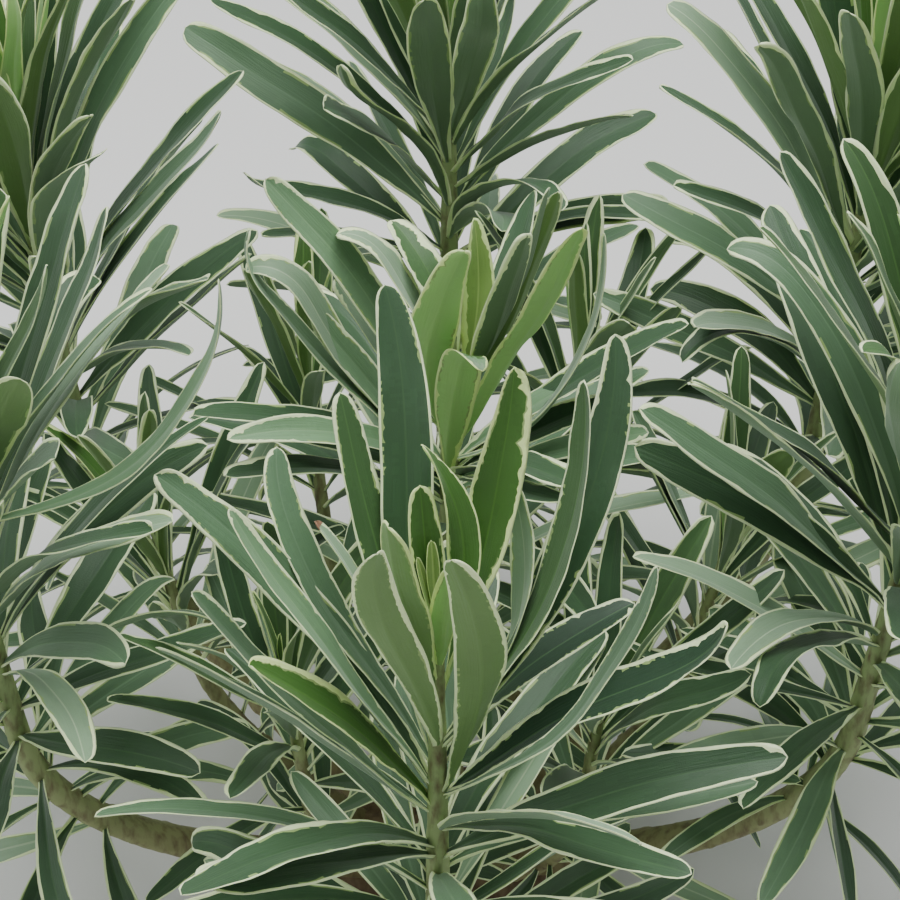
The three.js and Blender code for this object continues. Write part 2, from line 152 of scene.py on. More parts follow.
@dataclass
class Shoot:
    """One shoot: its name, where it ends, how far it leans there, and its leaves' seed."""

    name: str
    kind: Kind
    top: tuple[float, float, float]
    lean: float
    seed: int
    described: float = 0.0


SHOOTS = [
    Shoot("front", GROWN, (-1, -140, 232), 0, 11, LOWEST_DESCRIBED),
    Shoot("centre", GROWN, (2, 0, 228), 0, 23, LOWEST_DESCRIBED),
    Shoot("left", GROWN, (-128, -74, 230), 7, 31),
    Shoot("right", GROWN, (128, -72, 238), 8, 47),
    Shoot("back_left", GROWN, (-125, 74, 222), 9, 53),
    Shoot("back_right", GROWN, (127, 74, 236), 7, 67),
    Shoot("back", GROWN, (2, 146, 228), 8, 79),
    Shoot("young_right", YOUNG, (84, 0, 142), 12, 83),
    Shoot("young_left", YOUNG, (-84, 2, 138), 12, 97),
    Shoot("young_front_right", YOUNG, (44, -72, 146), 10, 101),
    Shoot("young_front_left", YOUNG, (-43, -70, 150), 10, 109),
    Shoot("young_back_right", YOUNG, (42, 72, 150), 10, 113),
    Shoot("young_back_left", YOUNG, (-42, 73, 146), 10, 127),
]

# A fresh below -0.2 gives a leaf's top a dusty, pale or silver green, partly real bloom and partly a painted
# sheen.
DESCRIBED_LEAVES = {
    "front": [
        LeafRow(30, 103, 32, 14, -15, 0, 104, 13, 0, 32, fresh=0, margin=0.6),
        LeafRow(38, 124, 28, 10, -26, 10, 88, 10.5, fresh=0.4, margin=0.9),
        LeafRow(26, 57, 24, 10, 50, 95, 85, 12.5, 0, 0, -45, fresh=0.7, margin=1.6),
        LeafRow(43, 43, 34, 10, 96, 15, 116, 12, 0, 4, 10, fresh=0.1, margin=0.8),
        LeafRow(41, 37, 29, -4, 128, -90, 106, 13, 0, 0, 22, fresh=0.4, margin=0.7),
        LeafRow(14, 99, 22, 10, 200, 0, 60, 8.5, fresh=1, margin=1.1),
        LeafRow(10, 114, 12, 8, -20, 0, 43, 9, fresh=1, margin=1.1),
        LeafRow(2, 110, 8, 0, 0, 0, 22, 3.5, fresh=1.2, margin=0.5),
        LeafRow(3, 150, 14, 0, 0, 0, 19, 3.5, fresh=1.2, margin=0.5),
        LeafRow(24, -128, 15, 0, 40, -80, 64, 13.5, 0, 0, 40, fresh=1.2, margin=0.7),
        LeafRow(41, -109, 24, 0, 24, 0, 101, 11.5, 0, 44, 22, fresh=0.6),
        LeafRow(58, -85, 19, -2, -118, 34, 105, 12.5, 0, 0, -8, fresh=0.5, margin=0.9),
        LeafRow(16, -70, 14, 0, 0, 0, 40, 7.5, fresh=0.9, margin=0.8),
        LeafRow(42, 54, 27, -12, 165, -45, 77, 9.5, 0, 8, -26, fresh=-1, margin=0.9),
        # A fresh of -0.1 gives this low leaf the deep green, a painted shade.
        LeafRow(50, 21, 53, 52, 0, 20, 65, 12, 0, 10, -15, fresh=-0.1, margin=1.4),
        LeafRow(58, -35, 30, -40, 10, 60, 121, 6.5, fresh=-0.3, margin=0.8),
        # A fresh of -0.1 gives this low leaf the deep green, a painted shade.
        LeafRow(60, 0, 56, 30, 0, 0, 90, 14, -60, fresh=-0.1, margin=1.3),
        LeafRow(58, 167, 37, 16, 30, -15, 112, 12, 0, 0, -15, fresh=-0.3, margin=0.9),
        LeafRow(56, 172, 31, 10, -46, 0, 96, 8.5, fresh=-0.5, margin=0.9),
        LeafRow(50, 137, 38, 8, -60, 0, 91, 10.5, 0, -32, 10, fresh=-0.3, margin=0.9),
        LeafRow(65, 168, 44, 0, -32, 0, 86, 12, 0, 0, 20, fresh=-0.3),
        LeafRow(62, -160, 37, 20, 8, 10, 76, 12, 0, 4, -24, fresh=0.7, margin=1.2),
        LeafRow(48, 155, 25, 24, 10, 0, 73, 8, 0, 0, 15, fresh=-1, margin=1.2, tip=Tip.BROWN),
    ],
    "centre": [
        LeafRow(50, -79, 21, 0, 120, -50, 86, 13, fresh=0.9),
        # A fresh of 1.1 gives this shaded leaf the pale bud green as painted light.
        LeafRow(44, 56, 12, 0, 165, 0, 64, 9, fresh=1.1, margin=1.9),
        LeafRow(62, -78, 22, 0, 30, 0, 75, 12, 95, 0, -28, fresh=0.7, margin=1.2, tip=Tip.SILVER),
        LeafRow(54, -27, 24, -5, 35, -50, 95, 12.5, fresh=0.7, margin=1.2),
        LeafRow(58, -10, 27, -62, 70, 5, 104, 7, 0, 0, -5, fresh=-1, margin=0.8),
        LeafRow(38, -20, 19, -20, 0, 0, 82, 9, fresh=-0.5),
        LeafRow(42, -14, 20, -16, 20, -60, 84, 10, fresh=0.4),
        LeafRow(44, -40, 19, -10, 0, -20, 78, 11, fresh=-0.5),
        LeafRow(50, 176, 30, 22, 0, 0, 97, 11.5, 0, 0, -35, fresh=-0.5, margin=0.9),
        LeafRow(66, 171, 40, 0, -20, 35, 100, 9.5, -68, 0, -12, fresh=-0.5),
        LeafRow(62, 170, 32, -28, 0, -20, 88, 11, 105, fresh=-1, margin=1.2),
        LeafRow(40, 173, 22, 30, 0, 0, 68, 12, 72, fresh=-1, margin=1.4),
        LeafRow(32, 130, 30, 95, 0, 0, 54, 12, fresh=0.5, margin=2),
        LeafRow(50, 170, 32, 0, 0, -20, 58, 11, fresh=-1, margin=1.2),
        LeafRow(60, 170, 38, -10, 0, -30, 60, 11, fresh=-0.5),
        LeafRow(64, -150, 60, 44, 0, 0, 80, 9, 0, 0, -30, fresh=-0.5),
        LeafRow(66, -160, 58, 20, 0, 0, 66, 9, 0, 0, -30, fresh=0),
        LeafRow(60, 0, 52, 20, 0, 0, 52, 11, fresh=-0.5),
        LeafRow(62, 0, 52, 20, 0, 0, 82, 13, fresh=0, margin=1.1),
        LeafRow(70, -4, 74, 20, 0, 0, 60, 11, fresh=-0.5),
        LeafRow(64, -4, 58, 16, 0, 20, 56, 10, fresh=0),
        LeafRow(66, -10, 66, 10, 0, 20, 60, 10, fresh=-0.5),
    ],
    "left": [
        LeafRow(26, 0, 47, -84, 0, 12, 124, 8, fresh=-0.5, margin=0.8),
    ],
}


# Growth: the seeded draws, a shoot's line and the rule for its leaves


class Draws:
    """Seeded random numbers, mixed by the same shifts and factors as for the solids."""

    WORD = 0xFFFFFFFF
    SEED_FACTOR = 2654435761
    STEP = 0x6D2B79F5

    def __init__(self, seed: int) -> None:
        """Start the draws from a whole number."""
        self.state = (seed * self.SEED_FACTOR) & self.WORD

    def share(self) -> float:
        """Give the next number.

        Returns:
            A number from 0 to 1.
        """
        self.state = (self.state + self.STEP) & self.WORD
        state = self.state
        mixed = ((state ^ (state >> 15)) * (1 | state)) & self.WORD
        turned = ((mixed ^ (mixed >> 7)) * (61 | mixed)) & self.WORD
        mixed = ((mixed + turned) ^ mixed) & self.WORD
        return (mixed ^ (mixed >> 14)) / (self.WORD + 1)

    def spread(self, amount: float) -> float:
        """Give the next number from minus amount to amount."""
        return (2 * self.share() - 1) * amount


class ShootLine:
    """The middle line of a shoot, from the crown's side outwards and then up to its tip."""

    def __init__(self, shoot: Shoot) -> None:
        """Work out the line's foot and slope from where the shoot ends.

        Args:
            shoot: The shoot.
        """
        self.kind = shoot.kind
        self.top = np.array(shoot.top, float)
        outward = self.top[:2]
        reach = float(np.hypot(*outward))
        outward = outward / reach if reach > STRAIGHT_REACH else np.zeros(2)
        self.foot = outward * STEM_FOOT_REACH
        self.slope = outward * math.tan(math.radians(shoot.lean))

    def at(self, z: float | np.ndarray) -> np.ndarray:
        """Give the line's points.

        Args:
            z: One height or several.

        Returns:
            A point, or a row of points.
        """
        height = np.asarray(z, float)
        progress = np.clip((height - STEM_FOOT_Z) / (self.kind.upright_z - STEM_FOOT_Z), 0, 1)
        eased = (1 - (1 - progress) ** STEM_CURVE_POWER)[..., None]
        upper = self.top[:2] - self.slope * (self.top[2] - height)[..., None]
        flat = self.foot + (upper - self.foot) * eased
        return np.concatenate([flat, height[..., None]], axis=-1)

    def direction(self, z: float) -> np.ndarray:
        """Give the line's direction at a height."""
        along = self.at(z + 0.5) - self.at(z - 0.5)
        return along / np.linalg.norm(along)

    def radius(self, z: float | np.ndarray) -> np.ndarray:
        """Give the stem's radius.

        Args:
            z: One height or several.

        Returns:
            The radius at each height.
        """
        height = np.asarray(z, float)
        kind = self.kind
        marks = [STEM_FOOT_Z, kind.split_z, self.top[2]]
        return np.interp(height, marks, [kind.foot_radius, kind.split_radius, kind.tip_radius])


@dataclass
class BladeLine:
    """A leaf's middle line with the directions of its side and of its upper face."""

    points: np.ndarray
    forward: np.ndarray
    side: np.ndarray
    face: np.ndarray


def leaf_outline(s: np.ndarray) -> np.ndarray:
    """Give a leaf's half width along it.

    Args:
        s: Places along the leaf, from 0 to 1.

    Returns:
        The half widths as shares of the widest.
    """
    rise = np.sin(np.minimum(s / LEAF_WIDEST_AT, 1) * np.pi / 2) ** LEAF_RISE_POWER
    tip = np.clip((s - LEAF_WIDEST_AT) / (1 - LEAF_WIDEST_AT), 0, 1)
    body = LEAF_FOOT_SHARE + (1 - LEAF_FOOT_SHARE) * rise
    return body * (1 - LEAF_TIP_NARROWING * tip**2) * np.sqrt(np.maximum(1 - tip**LEAF_TIP_BLUNTNESS, 0))


@dataclass(frozen=True)
class Ripple:
    """Small bends along a leaf, up and down and sideways: their sizes in degrees and their phases."""

    tilt: float = 0.0
    turn: float = 0.0
    tilt_phase: float = 0.0
    turn_phase: float = 0.0
    tilt_rate: float = 13.0
    turn_rate: float = 10.0


def blade_line(line: ShootLine, row: LeafRow, stations: np.ndarray, ripple: Ripple = Ripple()) -> BladeLine:
    """Follow a leaf from its foot on the stem to its tip.

    Args:
        line: The shoot's middle line.
        row: The leaf.
        stations: Places along the leaf, from 0 to 1.
        ripple: The leaf's small bends.

    Returns:
        The points and directions at the stations.
    """
    z = float(line.top[2] - row.drop)
    along = line.direction(z)
    east = np.array([1.0, 0.0, 0.0]) - along * along[0]
    east /= np.linalg.norm(east)
    north = np.cross(along, east)
    start = math.radians(row.azimuth - row.swing / 2 + row.bow * (1 - LEAF_BOW_LEVEL))
    sunk = LEAF_SUNK_SHARE * float(line.radius(z))
    foot = line.at(z) + sunk * (east * math.cos(start) + north * math.sin(start))

    s = np.linspace(0, 1, LEAF_LINE_STEPS + 1)
    m = 2 * s - 1
    curl = np.clip((s - LEAF_CURL_FROM) / LEAF_CURL_SHARE, 0, 1) ** 2
    tilt = row.lean + row.bend * m / 2 + row.curl * curl
    tilt = np.radians(tilt + ripple.tilt * np.sin(ripple.tilt_rate * s + ripple.tilt_phase))[:, None]
    turn = row.azimuth + row.swing * m / 2 + row.bow * (m * m - LEAF_BOW_LEVEL)
    turn = np.radians(turn + ripple.turn * np.sin(ripple.turn_rate * s + ripple.turn_phase))[:, None]
    forward = along * np.cos(tilt) + (east * np.cos(turn) + north * np.sin(turn)) * np.sin(tilt)
    steps = forward * row.length / LEAF_LINE_STEPS
    steps[0] = 0
    points = foot + np.cumsum(steps, axis=0)
    flat = north * np.cos(turn) - east * np.sin(turn)
    upper = np.cross(forward, flat)
    spin = np.radians(row.roll + row.twist * s)[:, None]
    side = flat * np.cos(spin) + upper * np.sin(spin)

    def at_stations(values: np.ndarray) -> np.ndarray:
        """Read values along the leaf at the stations."""
        return np.stack([np.interp(stations, s, column) for column in values.T], axis=1)

    forward = at_stations(forward)
    side = at_stations(side)
    side /= np.linalg.norm(side, axis=1)[:, None]
    return BladeLine(at_stations(points), forward, side, np.cross(forward, side))


@dataclass(frozen=True)
class Variation:
    """How far a leaf may differ from the rule, in degrees, or as a share of its length."""

    length: float = 0.08
    azimuth: float = 12.0
    lean: float = 7.0
    bend: float = 14.0
    swing: float = 34.0
    twist: float = 34.0
    width: float = 0.02
    curl: float = 70.0
    bow: float = 14.0
    roll: float = 24.0


@dataclass
class Growth:
    """The rule by which a shoot's leaves grow and keep to the shoot's own space."""

    shoots: list[Shoot]
    first_drop: float = 1.5
    crowding: float = 1.35
    bud_age: float = 0.03
    growing_age: float = 0.12
    full_age: float = 0.45
    shortening: float = 0.42
    shortening_power: float = 1.2
    width_share: float = 0.125
    curled_share: float = 0.25
    bud_lean: float = 6.0
    lean_growth: float = 90.0
    bud_bend: float = 12.0
    bend_growth: float = 30.0
    seed_turn: float = 40.0

    space_margin: float = 1.2
    space_stations: int = 13
    ground_margin: float = 9.0
    limb_margin: float = 3.0
    limb_swell: float = 2.0
    limb_overlap: float = 12.0
    root_part: float = 0.2
    trim: float = 0.95
    least_length_share: float = 0.5
    outer_part: float = 0.3
    outer_stations: int = 9
    clear_of_leaves: float = 2.6
    young_clearance: float = 1.4

    def __post_init__(self) -> None:
        """Draw the line of each shoot of the clump."""
        self.lines = {shoot.name: ShootLine(shoot) for shoot in self.shoots}
        self.taken: list[np.ndarray] = []

    def rule(self, kind: Kind, seed: int, count: int, lowest: float) -> list[LeafRow]:
        """Draw a shoot's leaves from its tip, age 0, down to its lowest, age 1.

        Args:
            kind: The kind of shoot.
            seed: The seed of the draws.
            count: How many leaves the whole shoot has.
            lowest: Leaves nearer to the tip than this are left out.

        Returns:
            The leaves.
        """
        draws = Draws(seed)
        vary = Variation()
        rows = []
        for i in range(count):
            age = i / (count - 1)
            drop = self.first_drop + kind.leafy_length * age**self.crowding
            grown = 1 - math.exp(-(age + self.bud_age) / self.growing_age)
            past = max((age - self.full_age) / (1 - self.full_age), 0)
            whole = 1 - self.shortening * past**self.shortening_power
            length = kind.leaf_length * grown * whole * (1 + draws.spread(vary.length))
            row = LeafRow(
                drop=drop,
                azimuth=GOLDEN_ANGLE * i + self.seed_turn * seed + draws.spread(vary.azimuth),
                lean=self.bud_lean + self.lean_growth * age + draws.spread(vary.lean),
                bend=self.bud_bend + self.bend_growth * age + draws.spread(vary.bend),
                swing=draws.spread(vary.swing),
                twist=draws.spread(vary.twist),
                length=length,
                width=length * (self.width_share + draws.spread(vary.width)),
                curl=draws.spread(vary.curl) if draws.share() < self.curled_share else 0.0,
                bow=draws.spread(vary.bow),
                roll=draws.spread(vary.roll),
            )
            if drop > lowest:
                rows.append(row)
        return rows

    def keeps_to_space(self, name: str, row: LeafRow) -> bool:
        """Tell whether a leaf stays in its shoot's space, above ground and clear of the bare stems.

        Args:
            name: The shoot's name.
            row: The leaf.

        Returns:
            True if it does.
        """
        own = self.lines[name]
        stations = np.linspace(0, 1, self.space_stations)
        blade = blade_line(own, row, stations)
        half = (row.width / 2 * leaf_outline(stations))[:, None]
        places = np.concatenate([blade.points + blade.side * half * k for k in (-1, 0, 1)])
        if places[:, 2].min() < self.ground_margin:
            return False
        beyond_root = np.tile(stations > self.root_part, 3)
        for other in self.lines.values():
            if other is not own and own.kind is GROWN and other.kind is GROWN:
                gap = other.top[:2] - own.top[:2]
                middle = np.linalg.norm(gap) / 2
                inward = (places[:, :2] - own.top[:2]) @ (gap / (2 * middle))
                if inward.max() > middle - self.space_margin:
                    return False
            whole = other.kind is YOUNG and other is not own
            limb_top = other.top[2] if whole else other.kind.split_z
            low = places[beyond_root & (places[:, 2] < limb_top + self.limb_overlap)]
            z = np.clip(low[:, 2], STEM_FOOT_Z, limb_top)
            clear = other.radius(z) * self.limb_swell + self.limb_margin
            if len(low) and (np.linalg.norm(other.at(z) - low, axis=1) < clear).any():
                return False
        return True

    def fitted(self, name: str, row: LeafRow) -> LeafRow | None:
        """Shorten a leaf until it fits, and leave it out where it would be too short.

        Args:
            name: The shoot's name.
            row: The leaf at its full length.

        Returns:
            The leaf that fits, or nothing.
        """
        trial = row
        while trial.length > self.least_length_share * row.length:
            if self.keeps_to_space(name, trial):
                return trial
            trial = replace(trial, length=trial.length * self.trim)
        return None

    def leaves(self, shoot: Shoot) -> list[LeafRow]:
        """Give all the leaves of a shoot: the described ones, the solid's and those that fill it.

        Args:
            shoot: The shoot.

        Returns:
            The leaves, fitted to the shoot's space.
        """
        kind = shoot.kind
        kept = []
        main = self.rule(kind, shoot.seed, kind.leaves, shoot.described)
        for row in DESCRIBED_LEAVES.get(shoot.name, []) + main:
            leaf = self.fitted(shoot.name, row)
            if leaf and (kind is GROWN or self.is_clear(shoot.name, leaf, self.young_clearance)):
                kept.append(leaf)
        self.taken += [self.outer_line(shoot.name, leaf) for leaf in kept]
        for row in self.rule(kind, shoot.seed + FILLING_SEED, kind.filling, shoot.described):
            leaf = self.fitted(shoot.name, row)
            if leaf and self.is_clear(shoot.name, leaf, 1.0):
                kept.append(leaf)
                self.taken.append(self.outer_line(shoot.name, leaf))
        return kept

    def outer_line(self, name: str, leaf: LeafRow) -> np.ndarray:
        """Give points along the outer part of a leaf's middle line.

        Args:
            name: The shoot's name.
            leaf: The leaf.

        Returns:
            The points.
        """
        stations = np.linspace(self.outer_part, 1, self.outer_stations)
        return blade_line(self.lines[name], leaf, stations).points

    def is_clear(self, name: str, leaf: LeafRow, clearance: float) -> bool:
        """Tell whether a leaf lies clear of those that are there before it.

        Args:
            name: The shoot's name.
            leaf: The leaf.
            clearance: How far off it keeps, as a multiple of the usual gap.

        Returns:
            True if nothing is too near.
        """
        if not self.taken:
            return True
        points = self.outer_line(name, leaf)
        near = np.linalg.norm(np.concatenate(self.taken)[:, None] - points[None], axis=2)
        return bool(near.min() > self.clear_of_leaves * clearance)


# Leaf paints: plain colours that are dealt out to a blade's faces


class Paint(Enum):
    """The kinds of leaf colour, each with a few shades.

    The dusty, pale and silver greens are partly the leaves' real waxy bloom and partly a painted sheen. The
    deep green is a painted shade, and the lime green of fresh undersides is painted light shining through.
    """

    SILVER = "silver_green"
    PALE = "pale_green"
    DUSTY = "dusty_green"
    DEEP = "deep_green"
    OLD = "blue_green"
    GROWN = "green"
    FRESH = "fresh_green"
    BUD = "bud_green"
    UNDER = "grey_green"
    UNDER_GROWN = "dull_lime_green"
    UNDER_FRESH_BACKLIT = "lime_green"
    UNDER_BUD = "soft_lime_green"
    BAND = "pale_band"
    RIB_SILVER = "silver_green_rib"
    RIB_PALE = "pale_green_rib"
    RIB_DUSTY = "dusty_green_rib"
    RIB_OLD = "blue_green_rib"
    RIB_GROWN = "green_rib"
    RIB_FRESH = "fresh_green_rib"
    RIB_BUD = "bud_green_rib"
    EDGE = "cream"
    EDGE_FRESH = "yellow_cream"
    BROWN = "brown_tip"


@dataclass(frozen=True)
class LeafFinish:
    """A leaf colour with its shades, and how it shines and lets light through."""

    colour: str
    shades: int
    step: float
    roughness: float
    sheen: float
    subsurface: float


LEAF_FINISHES: dict[Paint, LeafFinish] = {
    # Dusty, pale and silver greens: partly the older leaves' real waxy bloom, partly a painted sheen of sky
    # and top light.
    Paint.SILVER: LeafFinish("#86a382", 4, 0.05, 0.55, 0.3, 0.12),
    Paint.PALE: LeafFinish("#70946c", 5, 0.06, 0.52, 0.25, 0.12),
    Paint.DUSTY: LeafFinish("#567655", 5, 0.06, 0.5, 0.22, 0.12),
    # Deep green: a painted shade for low leaves that lie in shadow.
    Paint.DEEP: LeafFinish("#25402a", 5, 0.1, 0.48, 0.12, 0.12),
    Paint.OLD: LeafFinish("#365436", 5, 0.08, 0.48, 0.18, 0.12),
    Paint.GROWN: LeafFinish("#426338", 5, 0.08, 0.48, 0.16, 0.15),
    Paint.FRESH: LeafFinish("#42692a", 5, 0.08, 0.48, 0.1, 0.2),
    Paint.BUD: LeafFinish("#87a55a", 4, 0.06, 0.5, 0.1, 0.25),
    Paint.UNDER: LeafFinish("#66845f", 4, 0.035, 0.6, 0.3, 0.12),
    Paint.UNDER_GROWN: LeafFinish("#698a4c", 4, 0.035, 0.6, 0.2, 0.2),
    # Lime green: painted light shining through the undersides of fresh leaves.
    Paint.UNDER_FRESH_BACKLIT: LeafFinish("#a0cb7c", 4, 0.035, 0.6, 0.15, 0.3),
    Paint.UNDER_BUD: LeafFinish("#6f9350", 4, 0.035, 0.6, 0.2, 0.3),
    Paint.BAND: LeafFinish("#94ad6c", 3, 0.12, 0.52, 0.15, 0.15),
    # The silver, pale and dusty ribs carry the same painted sheen.
    Paint.RIB_SILVER: LeafFinish("#a3bb98", 1, 0.0, 0.55, 0.3, 0.12),
    Paint.RIB_PALE: LeafFinish("#7d9f76", 1, 0.0, 0.52, 0.25, 0.12),
    Paint.RIB_DUSTY: LeafFinish("#638361", 1, 0.0, 0.5, 0.22, 0.12),
    Paint.RIB_OLD: LeafFinish("#3d5d3a", 1, 0.0, 0.5, 0.2, 0.12),
    Paint.RIB_GROWN: LeafFinish("#4c703d", 1, 0.0, 0.5, 0.16, 0.15),
    Paint.RIB_FRESH: LeafFinish("#4e782f", 1, 0.0, 0.5, 0.1, 0.2),
    Paint.RIB_BUD: LeafFinish("#a2bd6e", 1, 0.0, 0.5, 0.1, 0.25),
    Paint.EDGE: LeafFinish("#e6f9c0", 3, 0.05, 0.55, 0.04, 0.25),
    Paint.EDGE_FRESH: LeafFinish("#e0f9a6", 3, 0.05, 0.55, 0.04, 0.3),
    Paint.BROWN: LeafFinish("#8b6650", 1, 0.0, 0.7, 0.05, 0.1),
}


@dataclass(frozen=True)
class Coat:
    """The paints of one leaf's upper side, midrib, lower side and edge, from a freshness upwards."""

    least: float
    top: Paint
    rib: Paint
    under: Paint
    edge: Paint


COATS = [
    Coat(1.01, Paint.BUD, Paint.RIB_BUD, Paint.UNDER_BUD, Paint.EDGE_FRESH),
    # The fresh coat's lime green underside is painted light shining through.
    Coat(0.66, Paint.FRESH, Paint.RIB_FRESH, Paint.UNDER_FRESH_BACKLIT, Paint.EDGE_FRESH),
    Coat(0.33, Paint.GROWN, Paint.RIB_GROWN, Paint.UNDER_GROWN, Paint.EDGE),
    Coat(-0.05, Paint.OLD, Paint.RIB_OLD, Paint.UNDER, Paint.EDGE),
    # The deep coat is a painted shade.
    Coat(-0.2, Paint.DEEP, Paint.RIB_OLD, Paint.UNDER, Paint.EDGE),
    # The dusty, pale and silver coats: real bloom with a painted sheen.
    Coat(-0.4, Paint.DUSTY, Paint.RIB_DUSTY, Paint.UNDER, Paint.EDGE),
    Coat(-0.75, Paint.PALE, Paint.RIB_PALE, Paint.UNDER, Paint.EDGE),
    Coat(-math.inf, Paint.SILVER, Paint.RIB_SILVER, Paint.UNDER, Paint.EDGE),
]


def linear(colour: str) -> np.ndarray:
    """Turn a colour such as #808080 into Blender's linear numbers."""
    parts = np.array([int(colour[k : k + 2], 16) for k in (1, 3, 5)]) / 255
    return np.where(parts <= 0.04045, parts / 12.92, ((parts + 0.055) / 1.055) ** 2.4)


Sockets = dict[str, float | tuple[float, ...]]
Link = tuple[bpy.types.Node, str | int, bpy.types.Node, str | int]


def new_material(name: str, values: Sockets) -> bpy.types.Material:
    """Make a material and set its shader's sockets.

    Args:
        name: The material's name.
        values: What to set, by the sockets' names.

    Returns:
        The material.
    """
    made = bpy.data.materials.new(name)
    made.use_nodes = True
    shader = made.node_tree.nodes["Principled BSDF"]
    for socket, value in values.items():
        shader.inputs[socket].default_value = value
    return made


def add_node(material: bpy.types.Material, kind: str, values: Sockets) -> bpy.types.Node:
    """Add a node to a material and set its sockets.

    Args:
        material: The material.
        kind: The node's kind.
        values: What to set, by the sockets' names.

    Returns:
        The node.
    """
    node = material.node_tree.nodes.new(f"ShaderNode{kind}")
    for socket, value in values.items():
        node.inputs[socket].default_value = value
    return node


def link_nodes(material: bpy.types.Material, links: list[Link]) -> None:
    """Join nodes: each link is a node, its socket, the next node and that one's socket."""
    for source, output, target, entry in links:
        material.node_tree.links.new(source.outputs[output], target.inputs[entry])


@dataclass
class Palette:
    """The leaf materials in a fixed order, so that a face can name its own by number."""

    gloss: float = 0.4
    bloom_roughness: float = 0.45
    bloom_tint: tuple[float, ...] = (0.86, 0.95, 0.88, 1)
    light_reach: tuple[float, ...] = (0.7, 1.0, 0.35)
    light_depth: float = 1.2
    vein_stretch: tuple[float, ...] = (18.0, 0.9, 1.0)
    skin_grain: float = 26.0
    skin_share: float = 0.35
    vein_strength: float = 0.55
    vein_depth: float = 0.3

    def __post_init__(self) -> None:
        """Make a material for each shade of each paint."""
        self.first: dict[Paint, int] = {}
        self.materials: list[bpy.types.Material] = []
        for paint, finish in LEAF_FINISHES.items():
            self.first[paint] = len(self.materials)
            middle = (finish.shades - 1) / 2
            for k in range(finish.shades):
                colour = linear(finish.colour) * (1 + finish.step * (k - middle))
                self.materials.append(self.material(f"{paint.value}_{k}", colour, finish))

    def material(self, name: str, colour: np.ndarray, finish: LeafFinish) -> bpy.types.Material:
        """Make one leaf material with fine veins along the blade.

        Args:
            name: The material's name.
            colour: Its linear colour.
            finish: The paint's shine and translucence.

        Returns:
            The material.
        """
        made = new_material(name, {
            "Base Color": (*np.clip(colour, 0, 1), 1),
            "Roughness": finish.roughness,
            "Specular IOR Level": self.gloss,
            "Sheen Weight": finish.sheen,
            "Sheen Roughness": self.bloom_roughness,
            "Sheen Tint": self.bloom_tint,
            "Subsurface Weight": finish.subsurface,
            "Subsurface Radius": self.light_reach,
            "Subsurface Scale": self.light_depth * MM,
        })
        way = add_node(made, "UVMap", {})
        way.uv_map = "blade"
        stretch = add_node(made, "Mapping", {"Scale": self.vein_stretch})
        veins = add_node(made, "TexNoise", {"Scale": 1.0, "Detail": 3.0})
        skin = add_node(made, "TexNoise", {"Scale": self.skin_grain, "Detail": 2.0})
        total = add_node(made, "Math", {})
        total.operation = "MULTIPLY_ADD"
        total.inputs[1].default_value = self.skin_share
        bump = add_node(made, "Bump", {"Strength": self.vein_strength, "Distance": self.vein_depth * MM})
        link_nodes(made, [
            (way, "UV", stretch, "Vector"),
            (stretch, "Vector", veins, "Vector"),
            (way, "UV", skin, "Vector"),
            (skin, "Fac", total, 0),
            (veins, "Fac", total, 2),
            (total, "Value", bump, "Height"),
            (bump, "Normal", made.node_tree.nodes["Principled BSDF"], "Normal"),
        ])
        return made


def wander(draw: np.random.Generator, places: np.ndarray, wavelength: float) -> np.ndarray:
    """Give a smooth random value from -1 to 1 along a line.

    Args:
        draw: The seeded draws.
        places: Places along the line, in millimetres.
        wavelength: The length over which the value changes.

    Returns:
        The value at each place.
    """
    knots = draw.uniform(-1, 1, int(places.max() / wavelength) + 4)
    at = np.clip(places, 0, None) / wavelength + draw.uniform(0, 1)
    low = at.astype(int)
    part = at - low
    ease = part * part * (3 - 2 * part)
    return knots[low] * (1 - ease) + knots[low + 1] * ease


@dataclass
class Faces:
    """Faces of one kind: their corners, the same number each, and each one's material number."""

    corners: np.ndarray
    slots: np.ndarray


@dataclass
class BladeMesh:
    """One leaf's mesh as arrays, in millimetres."""

    points: np.ndarray
    way: np.ndarray
    quads: Faces
    triangles: Faces


class Strip(Enum):
    """The strips of faces that run along a blade."""

    EDGE = "edge"
    BAND = "band"
    MAIN = "main"
    RIB = "rib"


@dataclass(frozen=True)
class Wave:
    """A smooth seeded change along a leaf: its size, and the length in millimetres over which it changes."""

    size: float
    length: float


def grid_faces(index: np.ndarray, turned: bool) -> np.ndarray:
    """Give the four-cornered faces of a grid of points.

    Args:
        index: The points' numbers, in rows.
        turned: True if the faces look the other way.

    Returns:
        Each face's corners.
    """
    a, b = index[:-1, :-1], index[1:, :-1]
    c, d = index[1:, 1:], index[:-1, 1:]
    order = (a, d, c, b) if turned else (a, b, c, d)
    return np.stack(order, axis=-1).reshape(-1, 4)


def fan_faces(edge: np.ndarray, centre: int, turned: bool) -> np.ndarray:
    """Give the triangles between a row of points and one point.

    Args:
        edge: The numbers of the row's points.
        centre: The one point's number.
        turned: True if the faces look the other way.

    Returns:
        Each face's corners.
    """
    a, b = (edge[1:], edge[:-1]) if turned else (edge[:-1], edge[1:])
    return np.stack([a, np.full(len(a), centre), b], axis=1)


def side_by_side(left: list[np.ndarray], right: list[np.ndarray]) -> np.ndarray:
    """Set both sides' columns beside a middle one, from the left edge to the right one.

    Args:
        left: The left side's places, from the middle outwards.
        right: The right side's, from the middle outwards.

    Returns:
        The places across the blade, one row for each station.
    """
    middle = np.zeros(len(left[0]))
    return np.stack([*(-column for column in reversed(left)), middle, *right], axis=1)


